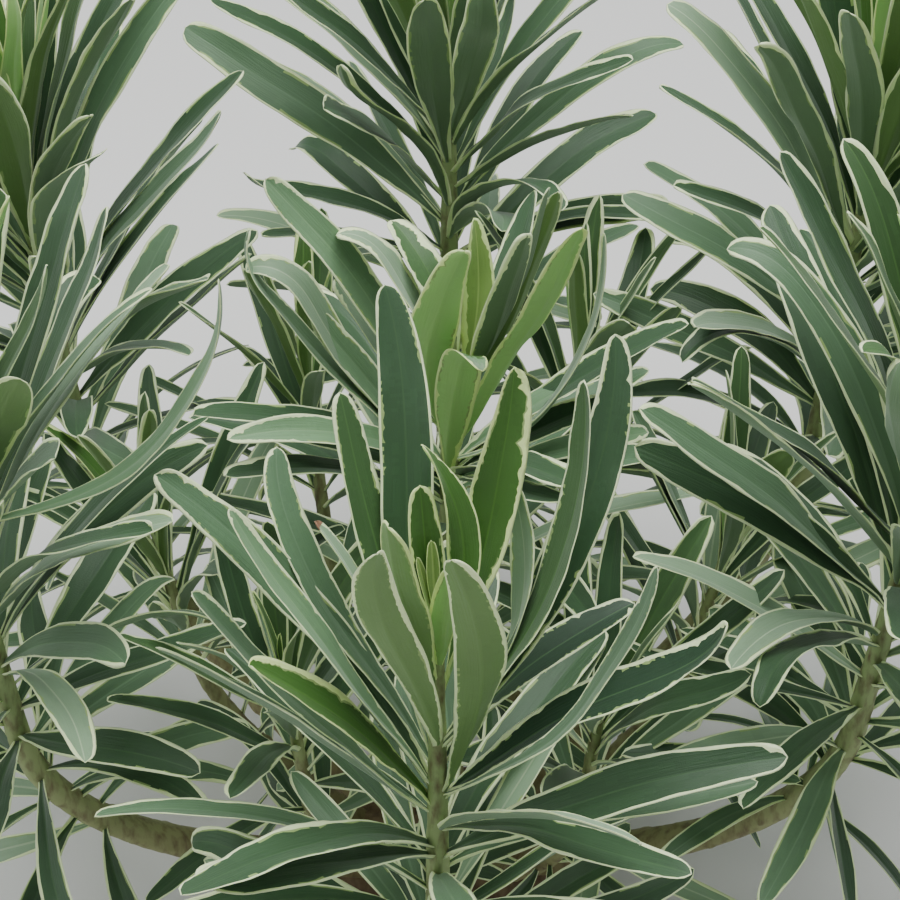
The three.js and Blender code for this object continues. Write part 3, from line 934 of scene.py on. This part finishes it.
@dataclass(frozen=True)
class BladeForm:
    """A blade's sizes in millimetres, its ripples in degrees, and how its mesh is divided."""

    row_step: float = 2.8
    fine_row_step: float = 0.9
    least_rows: int = 12
    most_rows: int = 120
    tip_crowding: float = 1.35
    last_station: float = 0.9993
    point_length: float = 0.35
    thickness: float = 0.5
    foot_thickness: float = 1.25
    taper: float = 0.45
    rim_power: int = 4
    thin_under: float = 2.2
    full_length: float = 60.0
    tilt_ripple: tuple[float, float] = (1.0, 3.0)
    turn_ripple: tuple[float, float] = (0.5, 2.0)
    width_wave: Wave = Wave(0.06, 14)
    fold: float = 0.2
    fold_power: float = 1.5
    fold_wave: Wave = Wave(0.4, 30)
    edge_wave: Wave = Wave(0.85, 17)
    edge_ripple: Wave = Wave(0.3, 6)
    edge_power: float = 2.5
    wavy_width: float = 13.0
    most_wavy: float = 1.1
    plain_under: float = 3.0
    groove_depth: float = 0.3
    groove_width: float = 0.55
    groove_end: float = 1.1
    keel_depth: float = 0.95
    keel_tip_depth: float = 0.22
    keel_power: float = 1.3
    keel_width: float = 1.1
    keel_taper: float = 0.5
    rib_width: float = 0.36
    rib_taper: float = 0.2
    rib_share: float = 0.15
    upper_columns: tuple[float, ...] = (0.33, 0.66, 1.0)
    vein_map_scale: float = 0.1
    vein_map_spread: float = 40.0


@dataclass(frozen=True)
class CreamForm:
    """How wide and how uneven a leaf's cream edge and the band beside it are."""

    level: float = 0.7
    wave: Wave = Wave(0.38, 22)
    ripple: Wave = Wave(0.24, 5)
    jag: float = 0.12
    spike_chance: float = 0.05
    spike_size: tuple[float, float] = (0.2, 0.8)
    spike_shape: tuple[float, float, float] = (0.25, 0.9, 0.45)
    least: float = 0.2
    narrow_leaf_share: float = 0.35
    leaf_width: float = 18.0
    tip_from: float = 0.75
    tip_swell: float = 0.5
    border_range: tuple[float, float] = (0.06, 0.9)
    band_width: float = 0.16
    band_range: tuple[float, float] = (0.2, 1.0)


@dataclass(frozen=True)
class Colouring:
    """How a leaf's paints are chosen and how their shades are dealt out to its strips."""

    youth_length: float = 38.0
    youth_luck: float = 0.15
    old_under: float = 0.2
    # Shares of older leaves that get the dusty or silver green, partly real bloom and partly a painted
    # sheen.
    pale_sheen_share: float = 0.3
    pale_sheen_leaf: float = -0.3
    silver_sheen_share: float = 0.12
    silver_sheen_leaf: float = -1.0
    tone_range: float = 0.5
    tone_wave: Wave = Wave(0.35, 30)
    streak_wave: Wave = Wave(0.35, 18)
    streak_grain: float = 0.12
    edge_contrast: float = 1.6
    keel_lightness: float = 0.8
    band_wave: Wave = Wave(1.0, 13)
    band_grain: float = 0.4
    band_from: float = 0.25
    band_contrast: float = 2.0
    silver_tip: float = 6.0
    silver_ragged: float = 1.5
    silver_fade: float = 0.14
    brown_tip: float = 1.8


FORM = BladeForm()
CREAM = CreamForm()
COLOURING = Colouring()
UPPER_STRIPS = [Strip.EDGE, Strip.EDGE, Strip.BAND, Strip.MAIN, Strip.MAIN, Strip.MAIN, Strip.RIB]
LOWER_STRIPS = [Strip.EDGE, Strip.EDGE, Strip.BAND, Strip.MAIN, Strip.MAIN, Strip.RIB]


class Blade:
    """One leaf as a closed blade: gutter, wavy edges, midrib, keel and an uneven cream edge."""

    def __init__(self, line: ShootLine, row: LeafRow, palette: Palette, seed: list[int]) -> None:
        """Draw the leaf's ripples, widths, colours and waves. A described leaf is finer than the others.

        Args:
            line: The shoot's middle line.
            row: The leaf.
            palette: The leaf materials.
            seed: The seed of its draws.
        """
        self.row = row
        self.palette = palette
        self.draw = np.random.default_rng(seed)
        step = FORM.row_step if row.fresh is None else FORM.fine_row_step
        rows = int(np.clip(row.length / step, FORM.least_rows, FORM.most_rows))
        self.s = FORM.last_station * (1 - (1 - np.linspace(0, 1, rows)) ** FORM.tip_crowding)
        self.along = self.s * row.length
        small = min(row.length / FORM.full_length, 1)
        tilt = self.draw.uniform(*FORM.tilt_ripple) * small
        turn = self.draw.uniform(*FORM.turn_ripple) * small
        self.line = blade_line(line, row, self.s, Ripple(tilt, turn, *self.draw.uniform(0, 2 * np.pi, 2)))
        self.half = row.width / 2 * leaf_outline(self.s)
        self.half_left = self.half * (1 + self.wave(FORM.width_wave))
        self.half_right = self.half * (1 + self.wave(FORM.width_wave))
        self.coat = self.chosen_coat(line.kind.youth)
        wavy = min(row.width / FORM.wavy_width, FORM.most_wavy)
        self.wave_left = wavy * (self.wave(FORM.edge_wave) + self.wave(FORM.edge_ripple))
        self.wave_right = wavy * (self.wave(FORM.edge_wave) + self.wave(FORM.edge_ripple))
        self.fold = 1 + self.wave(FORM.fold_wave)

    def wave(self, wave: Wave, places: np.ndarray | None = None) -> np.ndarray:
        """Draw a smooth change along the leaf.

        Args:
            wave: Its size and length.
            places: Places along the leaf in millimetres, or nothing for its stations.

        Returns:
            The value at each place.
        """
        return wave.size * wander(self.draw, self.along if places is None else places, wave.length)

    def grain(self, amount: float, count: int) -> np.ndarray:
        """Draw a row of values from minus amount to amount."""
        return self.draw.uniform(-amount, amount, count)

    def chosen_coat(self, youth: float) -> Coat:
        """Choose the leaf's paints by how fresh it is.

        Args:
            youth: How fresh the leaves at the shoot's tip look.

        Returns:
            The paints.
        """
        fresh = self.row.fresh
        if fresh is None:
            luck = self.draw.uniform(-COLOURING.youth_luck, COLOURING.youth_luck)
            fresh = max(youth - self.row.drop / COLOURING.youth_length + luck, 0)
            share = self.draw.uniform(0, 1)
            # Some older leaves get the dusty or silver green at random: real bloom with a painted sheen.
            if fresh < COLOURING.old_under and share < COLOURING.pale_sheen_share + COLOURING.silver_sheen_share:
                fresh = COLOURING.silver_sheen_leaf if share < COLOURING.silver_sheen_share else COLOURING.pale_sheen_leaf
        return next(coat for coat in COATS if fresh >= coat.least)

    def cream_width(self) -> np.ndarray:
        """Draw the width of the cream edge along one side, uneven and with short jags.

        Returns:
            The width at each station.
        """
        row, count = self.row, len(self.s)
        slow = self.wave(CREAM.wave)
        quick = self.wave(CREAM.ripple)
        jags = CREAM.jag * self.grain(1.0, count)
        spiked = self.draw.uniform(0, 1, count) > 1 - CREAM.spike_chance
        spikes = np.convolve(spiked * self.draw.uniform(*CREAM.spike_size, count), CREAM.spike_shape, "same")
        base = row.margin * min(1.0, CREAM.narrow_leaf_share + row.width / CREAM.leaf_width)
        width = base * (CREAM.level + slow + quick + jags + spikes)
        towards_tip = np.clip((self.s - CREAM.tip_from) / (1 - CREAM.tip_from), 0, 1)
        return np.clip(width * (1 + CREAM.tip_swell * towards_tip), CREAM.least, None)

    def border(self, half: np.ndarray) -> np.ndarray:
        """Give where the cream edge ends on one side, as a share of that side's width."""
        return np.clip(1 - self.cream_width() / half, *CREAM.border_range)

    def place(self, u: np.ndarray, upper: bool) -> np.ndarray:
        """Put points on the blade's upper or lower skin.

        Args:
            u: Places across the blade from -1 to 1, one row for each station.
            upper: True for the upper skin.

        Returns:
            The points, in the same rows.
        """
        s = self.s[:, None]
        half = np.where(u < 0, self.half_left[:, None], self.half_right[:, None])
        reach = np.abs(u)
        waves = np.where(u < 0, self.wave_left[:, None], self.wave_right[:, None])
        gutter = FORM.fold * self.fold[:, None] * half * reach**FORM.fold_power
        rise = gutter + waves * reach**FORM.edge_power
        across = reach * half
        wide = np.minimum(half / FORM.plain_under, 1)
        thick = FORM.thickness * (FORM.foot_thickness - FORM.taper * s)
        rim = np.sqrt(np.clip(1 - reach**FORM.rim_power, 0, 1))
        thick = thick * rim * np.minimum(half / FORM.thin_under, 1)
        if upper:
            groove = FORM.groove_depth * (FORM.groove_end - s)
            groove = groove * np.exp(-((across / FORM.groove_width) ** 2)) * wide
            offset = rise + thick / 2 - groove
        else:
            keel = FORM.keel_depth * (1 - s) ** FORM.keel_power + FORM.keel_tip_depth
            keel = keel * np.exp(-((across / (FORM.keel_width - FORM.keel_taper * s)) ** 2))
            offset = rise - thick / 2 - keel * wide
        line = self.line
        return (
            line.points[:, None]
            + line.side[:, None] * (u * half)[..., None]
            + line.face[:, None] * offset[..., None]
        )

    def shade(self, paint: Paint, value: np.ndarray) -> np.ndarray:
        """Turn values into the material numbers of a paint's shades.

        Args:
            paint: The paint.
            value: Values from -1, dark, to 1, light.

        Returns:
            A material number for each value.
        """
        count = LEAF_FINISHES[paint].shades
        step = np.round((np.clip(value, -1, 1) + 1) / 2 * (count - 1)).astype(int)
        return self.palette.first[paint] + step

    def paint(self, strips: list[Strip], upper: bool) -> np.ndarray:
        """Deal out the materials of one skin.

        Args:
            strips: What each strip of faces is.
            upper: True for the upper skin.

        Returns:
            Material numbers, one row for each row of faces.
        """
        coat = self.coat
        face, rib = (coat.top, coat.rib) if upper else (coat.under, coat.under)
        middle = (self.along[1:] + self.along[:-1]) / 2
        count = len(middle)
        tone = self.draw.uniform(-COLOURING.tone_range, COLOURING.tone_range)
        tone = tone + self.wave(COLOURING.tone_wave, middle)
        slots = np.zeros((count, len(strips)), int)
        for k, strip in enumerate(strips):
            streak = self.wave(COLOURING.streak_wave, middle)
            streak = streak + self.grain(COLOURING.streak_grain, count)
            if strip is Strip.EDGE:
                slots[:, k] = self.shade(coat.edge, COLOURING.edge_contrast * streak)
            elif strip is Strip.RIB:
                slots[:, k] = self.shade(rib, tone if upper else tone + COLOURING.keel_lightness)
            else:
                slots[:, k] = self.shade(face, tone + streak)
            if strip is Strip.BAND:
                pale = self.wave(COLOURING.band_wave, middle) + self.grain(COLOURING.band_grain, count)
                pale = pale > COLOURING.band_from
                slots[pale, k] = self.shade(Paint.BAND, COLOURING.band_contrast * streak)[pale]
        if upper and self.row.tip is Tip.SILVER:
            self.silver_tip(slots, middle)
        if self.row.tip is Tip.BROWN:
            slots[middle > self.row.length - COLOURING.brown_tip] = self.palette.first[Paint.BROWN]
        return slots

    def silver_tip(self, slots: np.ndarray, middle: np.ndarray) -> None:
        """Paint the tip pale and silver between its cream edges, with a ragged end.

        Args:
            slots: The material numbers to change.
            middle: Where the rows of faces are along the leaf.
        """
        for k in range(2, slots.shape[1] - 2):
            left = self.row.length - middle + COLOURING.silver_ragged * self.grain(1.0, len(middle))
            near = left < COLOURING.silver_tip
            slots[near, k] = self.shade(Paint.PALE, COLOURING.silver_fade * left)[near]
            slots[left < COLOURING.silver_tip / 2, k] = self.palette.first[Paint.SILVER]

    def columns(self) -> tuple[np.ndarray, np.ndarray]:
        """Place the strips' edges across the blade.

        Returns:
            The places across the upper skin and across the lower one, from -1 to 1.
        """
        count = len(self.s)
        left, right = self.border(self.half_left), self.border(self.half_right)
        band_left = left * (1 - CREAM.band_width * self.draw.uniform(*CREAM.band_range, count))
        band_right = right * (1 - CREAM.band_width * self.draw.uniform(*CREAM.band_range, count))
        rib = np.minimum((FORM.rib_width - FORM.rib_taper * self.s) / self.half, FORM.rib_share)
        rib = np.minimum(rib, np.minimum(band_left, band_right) / 4)

        def upper(band: np.ndarray, border: np.ndarray) -> list[np.ndarray]:
            """Give one side's columns on the upper skin, from the rib outwards."""
            main = [share * band for share in FORM.upper_columns]
            return [rib, *main, border, (1 + border) / 2, np.ones(count)]

        def lower(band: np.ndarray, border: np.ndarray) -> list[np.ndarray]:
            """Give one side's columns on the lower skin, without the edge that it shares."""
            return [2 * rib, border / 2, band, border, (1 + border) / 2]

        return (
            side_by_side(upper(band_left, left), upper(band_right, right)),
            side_by_side(lower(band_left, left), lower(band_right, right)),
        )

    def mesh(self) -> BladeMesh:
        """Build the closed blade.

        Returns:
            Its points and faces.
        """
        upper, lower = self.columns()
        above, below = self.place(upper, True), self.place(lower, False)
        foot = self.line.points[0]
        point = self.line.points[-1] + self.line.forward[-1] * FORM.point_length
        points = np.concatenate([above.reshape(-1, 3), below.reshape(-1, 3), [foot, point]])
        half = self.half[:, None]
        across = np.concatenate([(upper * half).ravel(), (lower * half).ravel(), [0, 0]])
        along = [np.repeat(self.along, skin.shape[1]) for skin in (upper, lower)]
        along = np.concatenate([*along, [0, self.row.length]])
        way = np.stack([across, along], axis=1) * FORM.vein_map_scale
        way = way + self.draw.uniform(0, FORM.vein_map_spread, 2)

        top = np.arange(upper.size).reshape(upper.shape)
        inner = upper.size + np.arange(lower.size).reshape(lower.shape)
        bottom = np.concatenate([top[:, :1], inner, top[:, -1:]], axis=1)
        foot_at, point_at = len(points) - 2, len(points) - 1
        top_slots = self.paint(UPPER_STRIPS + UPPER_STRIPS[::-1], True)
        low_slots = self.paint(LOWER_STRIPS + LOWER_STRIPS[::-1], False)
        quads = Faces(
            np.concatenate([grid_faces(top, False), grid_faces(bottom, True)]),
            np.concatenate([top_slots.ravel(), low_slots.ravel()]),
        )
        triangles = Faces(
            np.concatenate([
                fan_faces(top[-1], point_at, False), fan_faces(bottom[-1], point_at, True),
                fan_faces(top[0], foot_at, True), fan_faces(bottom[0], foot_at, False),
            ]),
            np.concatenate([top_slots[-1], low_slots[-1], top_slots[0], low_slots[0]]),
        )
        return BladeMesh(points, way, quads, triangles)


@dataclass
class Foliage:
    """The leaves of one shoot, joined into pieces of a size that exports whole."""

    shoot: Shoot
    growth: Growth
    palette: Palette
    most_triangles: int = 190000

    def blades(self) -> list[BladeMesh]:
        """Build all the shoot's leaves.

        Returns:
            Their meshes.
        """
        line = self.growth.lines[self.shoot.name]
        rows = self.growth.leaves(self.shoot)
        return [Blade(line, row, self.palette, [self.shoot.seed, k]).mesh() for k, row in enumerate(rows)]

    def build(self) -> list[bpy.types.Object]:
        """Join the leaves into pieces.

        Returns:
            The pieces.
        """
        pieces, batch, total = [], [], 0
        for blade in self.blades():
            triangles = 2 * len(blade.quads.corners) + len(blade.triangles.corners)
            if batch and total + triangles > self.most_triangles:
                pieces.append(self.joined(batch, len(pieces)))
                batch, total = [], 0
            batch.append(blade)
            total += triangles
        pieces.append(self.joined(batch, len(pieces)))
        return pieces

    def joined(self, blades: list[BladeMesh], number: int) -> bpy.types.Object:
        """Make one mesh object of several leaves.

        Args:
            blades: The leaves.
            number: The piece's number in its shoot.

        Returns:
            The object.
        """
        starts = np.cumsum([0] + [len(blade.points) for blade in blades])[:-1]
        points = np.concatenate([blade.points for blade in blades]) * MM
        way = np.concatenate([blade.way for blade in blades])
        quads = np.concatenate([b.quads.corners + k for b, k in zip(blades, starts)])
        triangles = np.concatenate([b.triangles.corners + k for b, k in zip(blades, starts)])
        slots = np.concatenate([b.quads.slots for b in blades] + [b.triangles.slots for b in blades])
        corners = np.concatenate([quads.ravel(), triangles.ravel()]).astype(np.int32)
        sizes = np.concatenate([np.full(len(quads), 4), np.full(len(triangles), 3)])
        mesh = bpy.data.meshes.new(f"foliage_{self.shoot.name}_{number}")
        mesh.vertices.add(len(points))
        mesh.vertices.foreach_set("co", points.astype(np.float32).ravel())
        mesh.loops.add(len(corners))
        mesh.loops.foreach_set("vertex_index", corners)
        mesh.polygons.add(len(sizes))
        mesh.polygons.foreach_set("loop_start", (np.cumsum(sizes) - sizes).astype(np.int32))
        mesh.polygons.foreach_set("use_smooth", np.ones(len(sizes), bool))
        for material in self.palette.materials:
            mesh.materials.append(material)
        mesh.polygons.foreach_set("material_index", slots.astype(np.int32))
        layer = mesh.uv_layers.new(name="blade")
        layer.data.foreach_set("uv", way[corners].astype(np.float32).ravel())
        mesh.update()
        mesh.validate()
        made = bpy.data.objects.new(mesh.name, mesh)
        bpy.context.scene.collection.objects.link(made)
        return made


# Woody pieces


@dataclass(frozen=True)
class BarkFinish:
    """The colours and relief of bark or of a stem's skin, from its foot to its top."""

    name: str
    low: str
    high: str
    mottle: str
    top_z: float
    roughness: float
    grain: float
    gloss: float = 0.3
    stretch: tuple[float, float, float] = (1.0, 1.0, 0.35)
    mottle_range: tuple[float, float] = (0.45, 0.75)
    relief: float = 0.6
    relief_depth: float = 0.5


CROWN_BARK = BarkFinish("crown_bark", "#6e5a44", "#8a7a5e", "#4b3b2c", 40.0, 0.85, 260.0)
STEM_SKIN = BarkFinish("stem_skin", "#8c7c5a", "#9db07a", "#6d5f48", 150.0, 0.62, 420.0)


def bark_material(finish: BarkFinish) -> bpy.types.Material:
    """Make a bark or stem material that changes from its foot to its top.

    Args:
        finish: Its colours and relief.

    Returns:
        The material.
    """
    made = new_material(finish.name, {"Roughness": finish.roughness, "Specular IOR Level": finish.gloss})
    place = add_node(made, "TexCoord", {})
    height = add_node(made, "SeparateXYZ", {})
    climb = add_node(made, "MapRange", {"From Max": finish.top_z * MM})
    grown = add_node(made, "Mix", {})
    grown.data_type = "RGBA"
    grown.inputs["A"].default_value = (*linear(finish.low), 1)
    grown.inputs["B"].default_value = (*linear(finish.high), 1)
    stretch = add_node(made, "Mapping", {"Scale": finish.stretch})
    mottle = add_node(made, "TexNoise", {"Scale": finish.grain, "Detail": 6.0})
    none_under, full_over = finish.mottle_range
    patches = add_node(made, "MapRange", {"From Min": none_under, "From Max": full_over})
    mixed = add_node(made, "Mix", {})
    mixed.data_type = "RGBA"
    mixed.inputs["B"].default_value = (*linear(finish.mottle), 1)
    bump = add_node(made, "Bump", {"Strength": finish.relief, "Distance": finish.relief_depth * MM})
    shader = made.node_tree.nodes["Principled BSDF"]
    link_nodes(made, [
        (place, "Object", height, "Vector"),
        (height, "Z", climb, "Value"),
        (climb, "Result", grown, "Factor"),
        (place, "Object", stretch, "Vector"),
        (stretch, "Vector", mottle, "Vector"),
        (mottle, "Fac", patches, "Value"),
        (patches, "Result", mixed, "Factor"),
        (grown, "Result", mixed, "A"),
        (mixed, "Result", shader, "Base Color"),
        (mottle, "Fac", bump, "Height"),
        (bump, "Normal", shader, "Normal"),
    ])
    return made


def deselect_all() -> None:
    """Leave nothing selected."""
    bpy.ops.object.select_all(action="DESELECT")


def make_active(piece: bpy.types.Object) -> None:
    """Select one object alone and make it the active one.

    Args:
        piece: The object.
    """
    deselect_all()
    piece.select_set(True)
    bpy.context.view_layer.objects.active = piece


def paint_all(piece: bpy.types.Object, material: bpy.types.Material) -> None:
    """Give a whole piece one material."""
    piece.data.materials.clear()
    piece.data.materials.append(material)


class Relief(Enum):
    """The patterns that push a skin in and out."""

    CLOUDY = "CLOUDS"
    CELLS = "VORONOI"


def roughen(piece: bpy.types.Object, name: str, kind: Relief, size: float, depth: float) -> None:
    """Push a piece's skin in and out by a pattern, and apply it.

    Args:
        piece: The piece.
        name: The pattern's name.
        kind: The pattern.
        size: The pattern's size in millimetres.
        depth: How far it pushes, in millimetres.
    """
    pattern = bpy.data.textures.new(name, kind.value)
    pattern.noise_scale = size * MM
    make_active(piece)
    relief = piece.modifiers.new(name, "DISPLACE")
    relief.texture = pattern
    relief.texture_coords = "LOCAL"
    relief.strength = depth * MM
    relief.mid_level = 0.5
    bpy.ops.object.modifier_apply(modifier=relief.name)


@dataclass
class Stem:
    """One shoot's stem from the crown to its tip, with leaf scars on its bare length."""

    line: ShootLine
    name: str
    skin: bpy.types.Material
    ring_step: float = 2.2
    roundness: int = 5
    scar_step: float = 3.1
    scar_rise: float = 0.55
    scar_inset: float = 0.35
    scars_above_foot: float = 16.0
    scars_past_split: float = 14.0
    grain: float = 3.0
    grain_depth: float = 0.5
    merge_gap: float = 0.01

    def tube(self) -> bpy.types.Object:
        """Sweep a tapering tube along the shoot's line and make it a mesh.

        Returns:
            The piece.
        """
        top = float(self.line.top[2])
        heights = np.linspace(STEM_FOOT_Z, top, int((top - STEM_FOOT_Z) / self.ring_step))
        places = self.line.at(heights) * MM
        radii = self.line.radius(heights)
        deselect_all()
        bpy.ops.curve.primitive_nurbs_path_add()
        made = bpy.context.object
        made.name = f"shoot_stem_{self.name}"
        path = made.data
        path.splines.clear()
        spline = path.splines.new("POLY")
        spline.points.add(len(places) - 1)
        for point, place, radius in zip(spline.points, places, radii):
            point.co = (*place, 1)
            point.radius = radius
        path.dimensions = "3D"
        path.bevel_depth = MM
        path.bevel_resolution = self.roundness
        path.use_fill_caps = True
        bpy.ops.object.convert(target="MESH")
        return bpy.context.object

    def choose_scars(self, piece: bpy.types.Object) -> None:
        """Select a face for each fallen leaf's scar, in a spiral up the bare stem.

        Args:
            piece: The stem.
        """
        mesh = piece.data
        centres = np.array([face.center for face in mesh.polygons]) / MM
        lowest = STEM_FOOT_Z + self.scars_above_foot
        heights = np.arange(lowest, self.line.kind.split_z + self.scars_past_split, self.scar_step)
        turns = np.radians(GOLDEN_ANGLE * np.arange(len(heights)))
        for z, turn in zip(heights, turns):
            side = self.line.at(z) + self.line.radius(z) * np.array([np.cos(turn), np.sin(turn), 0])
            nearest = int(np.linalg.norm(centres - side, axis=1).argmin())
            mesh.polygons[nearest].select = True

    def build(self) -> bpy.types.Object:
        """Build the stem and dress it.

        Returns:
            The piece.
        """
        piece = self.tube()
        make_active(piece)
        bpy.ops.object.mode_set(mode="EDIT")
        bpy.ops.mesh.select_all(action="SELECT")
        bpy.ops.mesh.remove_doubles(threshold=self.merge_gap * MM)
        bpy.ops.mesh.normals_make_consistent(inside=False)
        bpy.ops.mesh.select_all(action="DESELECT")
        bpy.ops.mesh.select_mode(type="FACE")
        bpy.ops.object.mode_set(mode="OBJECT")
        self.choose_scars(piece)
        bpy.ops.object.mode_set(mode="EDIT")
        bpy.ops.mesh.inset(thickness=self.scar_inset * MM, depth=self.scar_rise * MM, use_individual=True)
        bpy.ops.mesh.select_all(action="DESELECT")
        bpy.ops.object.mode_set(mode="OBJECT")
        smooth = piece.modifiers.new("rounded", "SUBSURF")
        smooth.levels = smooth.render_levels = 1
        bpy.ops.object.modifier_apply(modifier=smooth.name)
        roughen(piece, f"stem_grain_{self.name}", Relief.CLOUDY, self.grain, self.grain_depth)
        piece.data.shade_smooth()
        paint_all(piece, self.skin)
        return piece


@dataclass
class Crown:
    """The woody crown: a knobbly dome with bark relief and a flat cut at the ground."""

    bark: bpy.types.Material
    voxel: float = 1.1
    softening: int = 6
    merge_gap: float = 0.01
    cut_z: float = 0.2
    knob_size: float = 12.0
    knob_depth: float = 5.0
    furrow_size: float = 5.0
    furrow_depth: float = 2.4
    grain_size: float = 1.6
    grain_depth: float = 0.8

    def build(self) -> bpy.types.Object:
        """Build the crown from a merged copy of its solid and dress it.

        Returns:
            The piece.
        """
        piece = frame["nodes"]["crown"].copy()
        piece.data = piece.data.copy()
        piece.name = "crown_wood"
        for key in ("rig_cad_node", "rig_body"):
            del piece[key]
        piece.parent = None
        bpy.context.scene.collection.objects.link(piece)
        make_active(piece)
        bpy.ops.object.mode_set(mode="EDIT")
        bpy.ops.mesh.select_all(action="SELECT")
        bpy.ops.mesh.remove_doubles(threshold=self.merge_gap * MM)
        bpy.ops.object.mode_set(mode="OBJECT")
        remesh = piece.modifiers.new("fine", "REMESH")
        remesh.mode = "VOXEL"
        remesh.voxel_size = self.voxel * MM
        bpy.ops.object.modifier_apply(modifier=remesh.name)
        soften = piece.modifiers.new("soft", "SMOOTH")
        soften.iterations = self.softening
        bpy.ops.object.modifier_apply(modifier=soften.name)
        roughen(piece, "crown_knobs", Relief.CLOUDY, self.knob_size, self.knob_depth)
        roughen(piece, "crown_furrows", Relief.CELLS, self.furrow_size, self.furrow_depth)
        roughen(piece, "crown_grain", Relief.CLOUDY, self.grain_size, self.grain_depth)
        bpy.ops.object.mode_set(mode="EDIT")
        bpy.ops.mesh.select_all(action="SELECT")
        bpy.ops.mesh.bisect(
            plane_co=(0, 0, self.cut_z * MM), plane_no=(0, 0, 1), use_fill=True, clear_inner=True
        )
        bpy.ops.object.mode_set(mode="OBJECT")
        piece.data.shade_smooth()
        paint_all(piece, self.bark)
        return piece


# Studio


@dataclass(frozen=True)
class Lamp:
    """A soft square lamp: its place and its side in metres, and its power in watts."""

    name: str
    place: tuple[float, float, float]
    side: float
    power: float


LAMPS = (Lamp("overhead", (0.1, 0.15, 1.6), 1.4, 36), Lamp("side", (-1.3, -0.2, 1.0), 0.8, 7))


@dataclass(frozen=True)
class Studio:
    """The floor, the soft lights and the camera at the photograph's viewing angle."""

    target: tuple[float, float, float] = (2.1, -84.4, 238.3)
    distance: float = 800.0
    down: float = 38.0
    lens: float = 128.0
    sensor: float = 36.0
    nearest: float = 20.0
    farthest: float = 50000.0
    floor_side: float = 12000.0
    floor_drop: float = 0.2
    floor_colour: tuple[float, float, float, float] = (0.74, 0.74, 0.72, 1)
    floor_roughness: tuple[float, float] = (0.75, 0.9)
    lit_height: float = 150.0
    sky_colour: tuple[float, float, float, float] = (0.93, 0.97, 1.0, 1)
    sky_strength: float = 0.35

    def floor(self) -> bpy.types.Object:
        """Lay a plain pale floor.

        Returns:
            The floor.
        """
        deselect_all()
        bpy.ops.mesh.primitive_plane_add(size=self.floor_side * MM, location=(0, 0, -self.floor_drop * MM))
        made = bpy.context.object
        made.name = "floor"
        material = new_material("pale_floor", {"Base Color": self.floor_colour})
        noise = add_node(material, "TexNoise", {"Scale": 3.0})
        smooth, rough = self.floor_roughness
        uneven = add_node(material, "MapRange", {"To Min": smooth, "To Max": rough})
        link_nodes(material, [
            (noise, "Fac", uneven, "Value"),
            (uneven, "Result", material.node_tree.nodes["Principled BSDF"], "Roughness"),
        ])
        made.data.materials.append(material)
        return made

    def hang(self, lamp: Lamp) -> None:
        """Hang a lamp that points at the clump.

        Args:
            lamp: The lamp.
        """
        light = bpy.data.lights.new(lamp.name, "AREA")
        light.shape = "SQUARE"
        light.size = lamp.side
        light.energy = lamp.power
        made = bpy.data.objects.new(lamp.name, light)
        bpy.context.scene.collection.objects.link(made)
        away = np.array(lamp.place) - np.array([0, 0, self.lit_height * MM])
        yaw = math.atan2(away[0], -away[1])
        pitch = math.atan2(math.hypot(away[0], away[1]), away[2])
        made.location = lamp.place
        made.rotation_euler = (pitch, 0, yaw)

    def lights(self) -> None:
        """Light the clump softly from above, with a pale sky all round."""
        world = bpy.data.worlds.new("sky")
        world.use_nodes = True
        sky = world.node_tree.nodes["Background"]
        sky.inputs["Color"].default_value = self.sky_colour
        sky.inputs["Strength"].default_value = self.sky_strength
        bpy.context.scene.world = world
        for lamp in LAMPS:
            self.hang(lamp)

    def camera(self) -> None:
        """Set the camera at the photograph's viewing angle."""
        view = bpy.data.cameras.new("view")
        view.lens = self.lens
        view.sensor_width = self.sensor
        view.clip_start = self.nearest * MM
        view.clip_end = self.farthest * MM
        made = bpy.data.objects.new("view", view)
        bpy.context.scene.collection.objects.link(made)
        down = math.radians(self.down)
        back = np.array([0, -math.cos(down), math.sin(down)])
        made.location = (np.array(self.target) + back * self.distance) * MM
        made.rotation_euler = (math.pi / 2 - down, 0, 0)
        bpy.context.scene.camera = made


def main() -> None:
    """Build the clump, dress it and set up its view."""
    logging.basicConfig(level=logging.INFO, format="%(name)s: %(message)s")
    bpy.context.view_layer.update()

    crown = Crown(bark_material(CROWN_BARK)).build()
    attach(crown, "root")
    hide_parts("crown")
    LOG.info("%s: %d faces", crown.name, len(crown.data.polygons))

    growth = Growth(SHOOTS)
    palette = Palette()
    skin = bark_material(STEM_SKIN)
    for shoot in SHOOTS:
        stem = Stem(growth.lines[shoot.name], shoot.name, skin).build()
        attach(stem, "root")
        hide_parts(f"{'stem' if shoot.kind is GROWN else 'leaves'}_{shoot.name}")
        LOG.info("%s: %d faces", stem.name, len(stem.data.polygons))
        for piece in Foliage(shoot, growth, palette).build():
            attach(piece, "root")
            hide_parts(f"leaves_{shoot.name}")
            LOG.info("%s: %d faces", piece.name, len(piece.data.polygons))

    studio = Studio()
    studio.floor()
    studio.lights()
    studio.camera()
    bpy.context.view_layer.update()


if __name__ == "__main__":
    main()
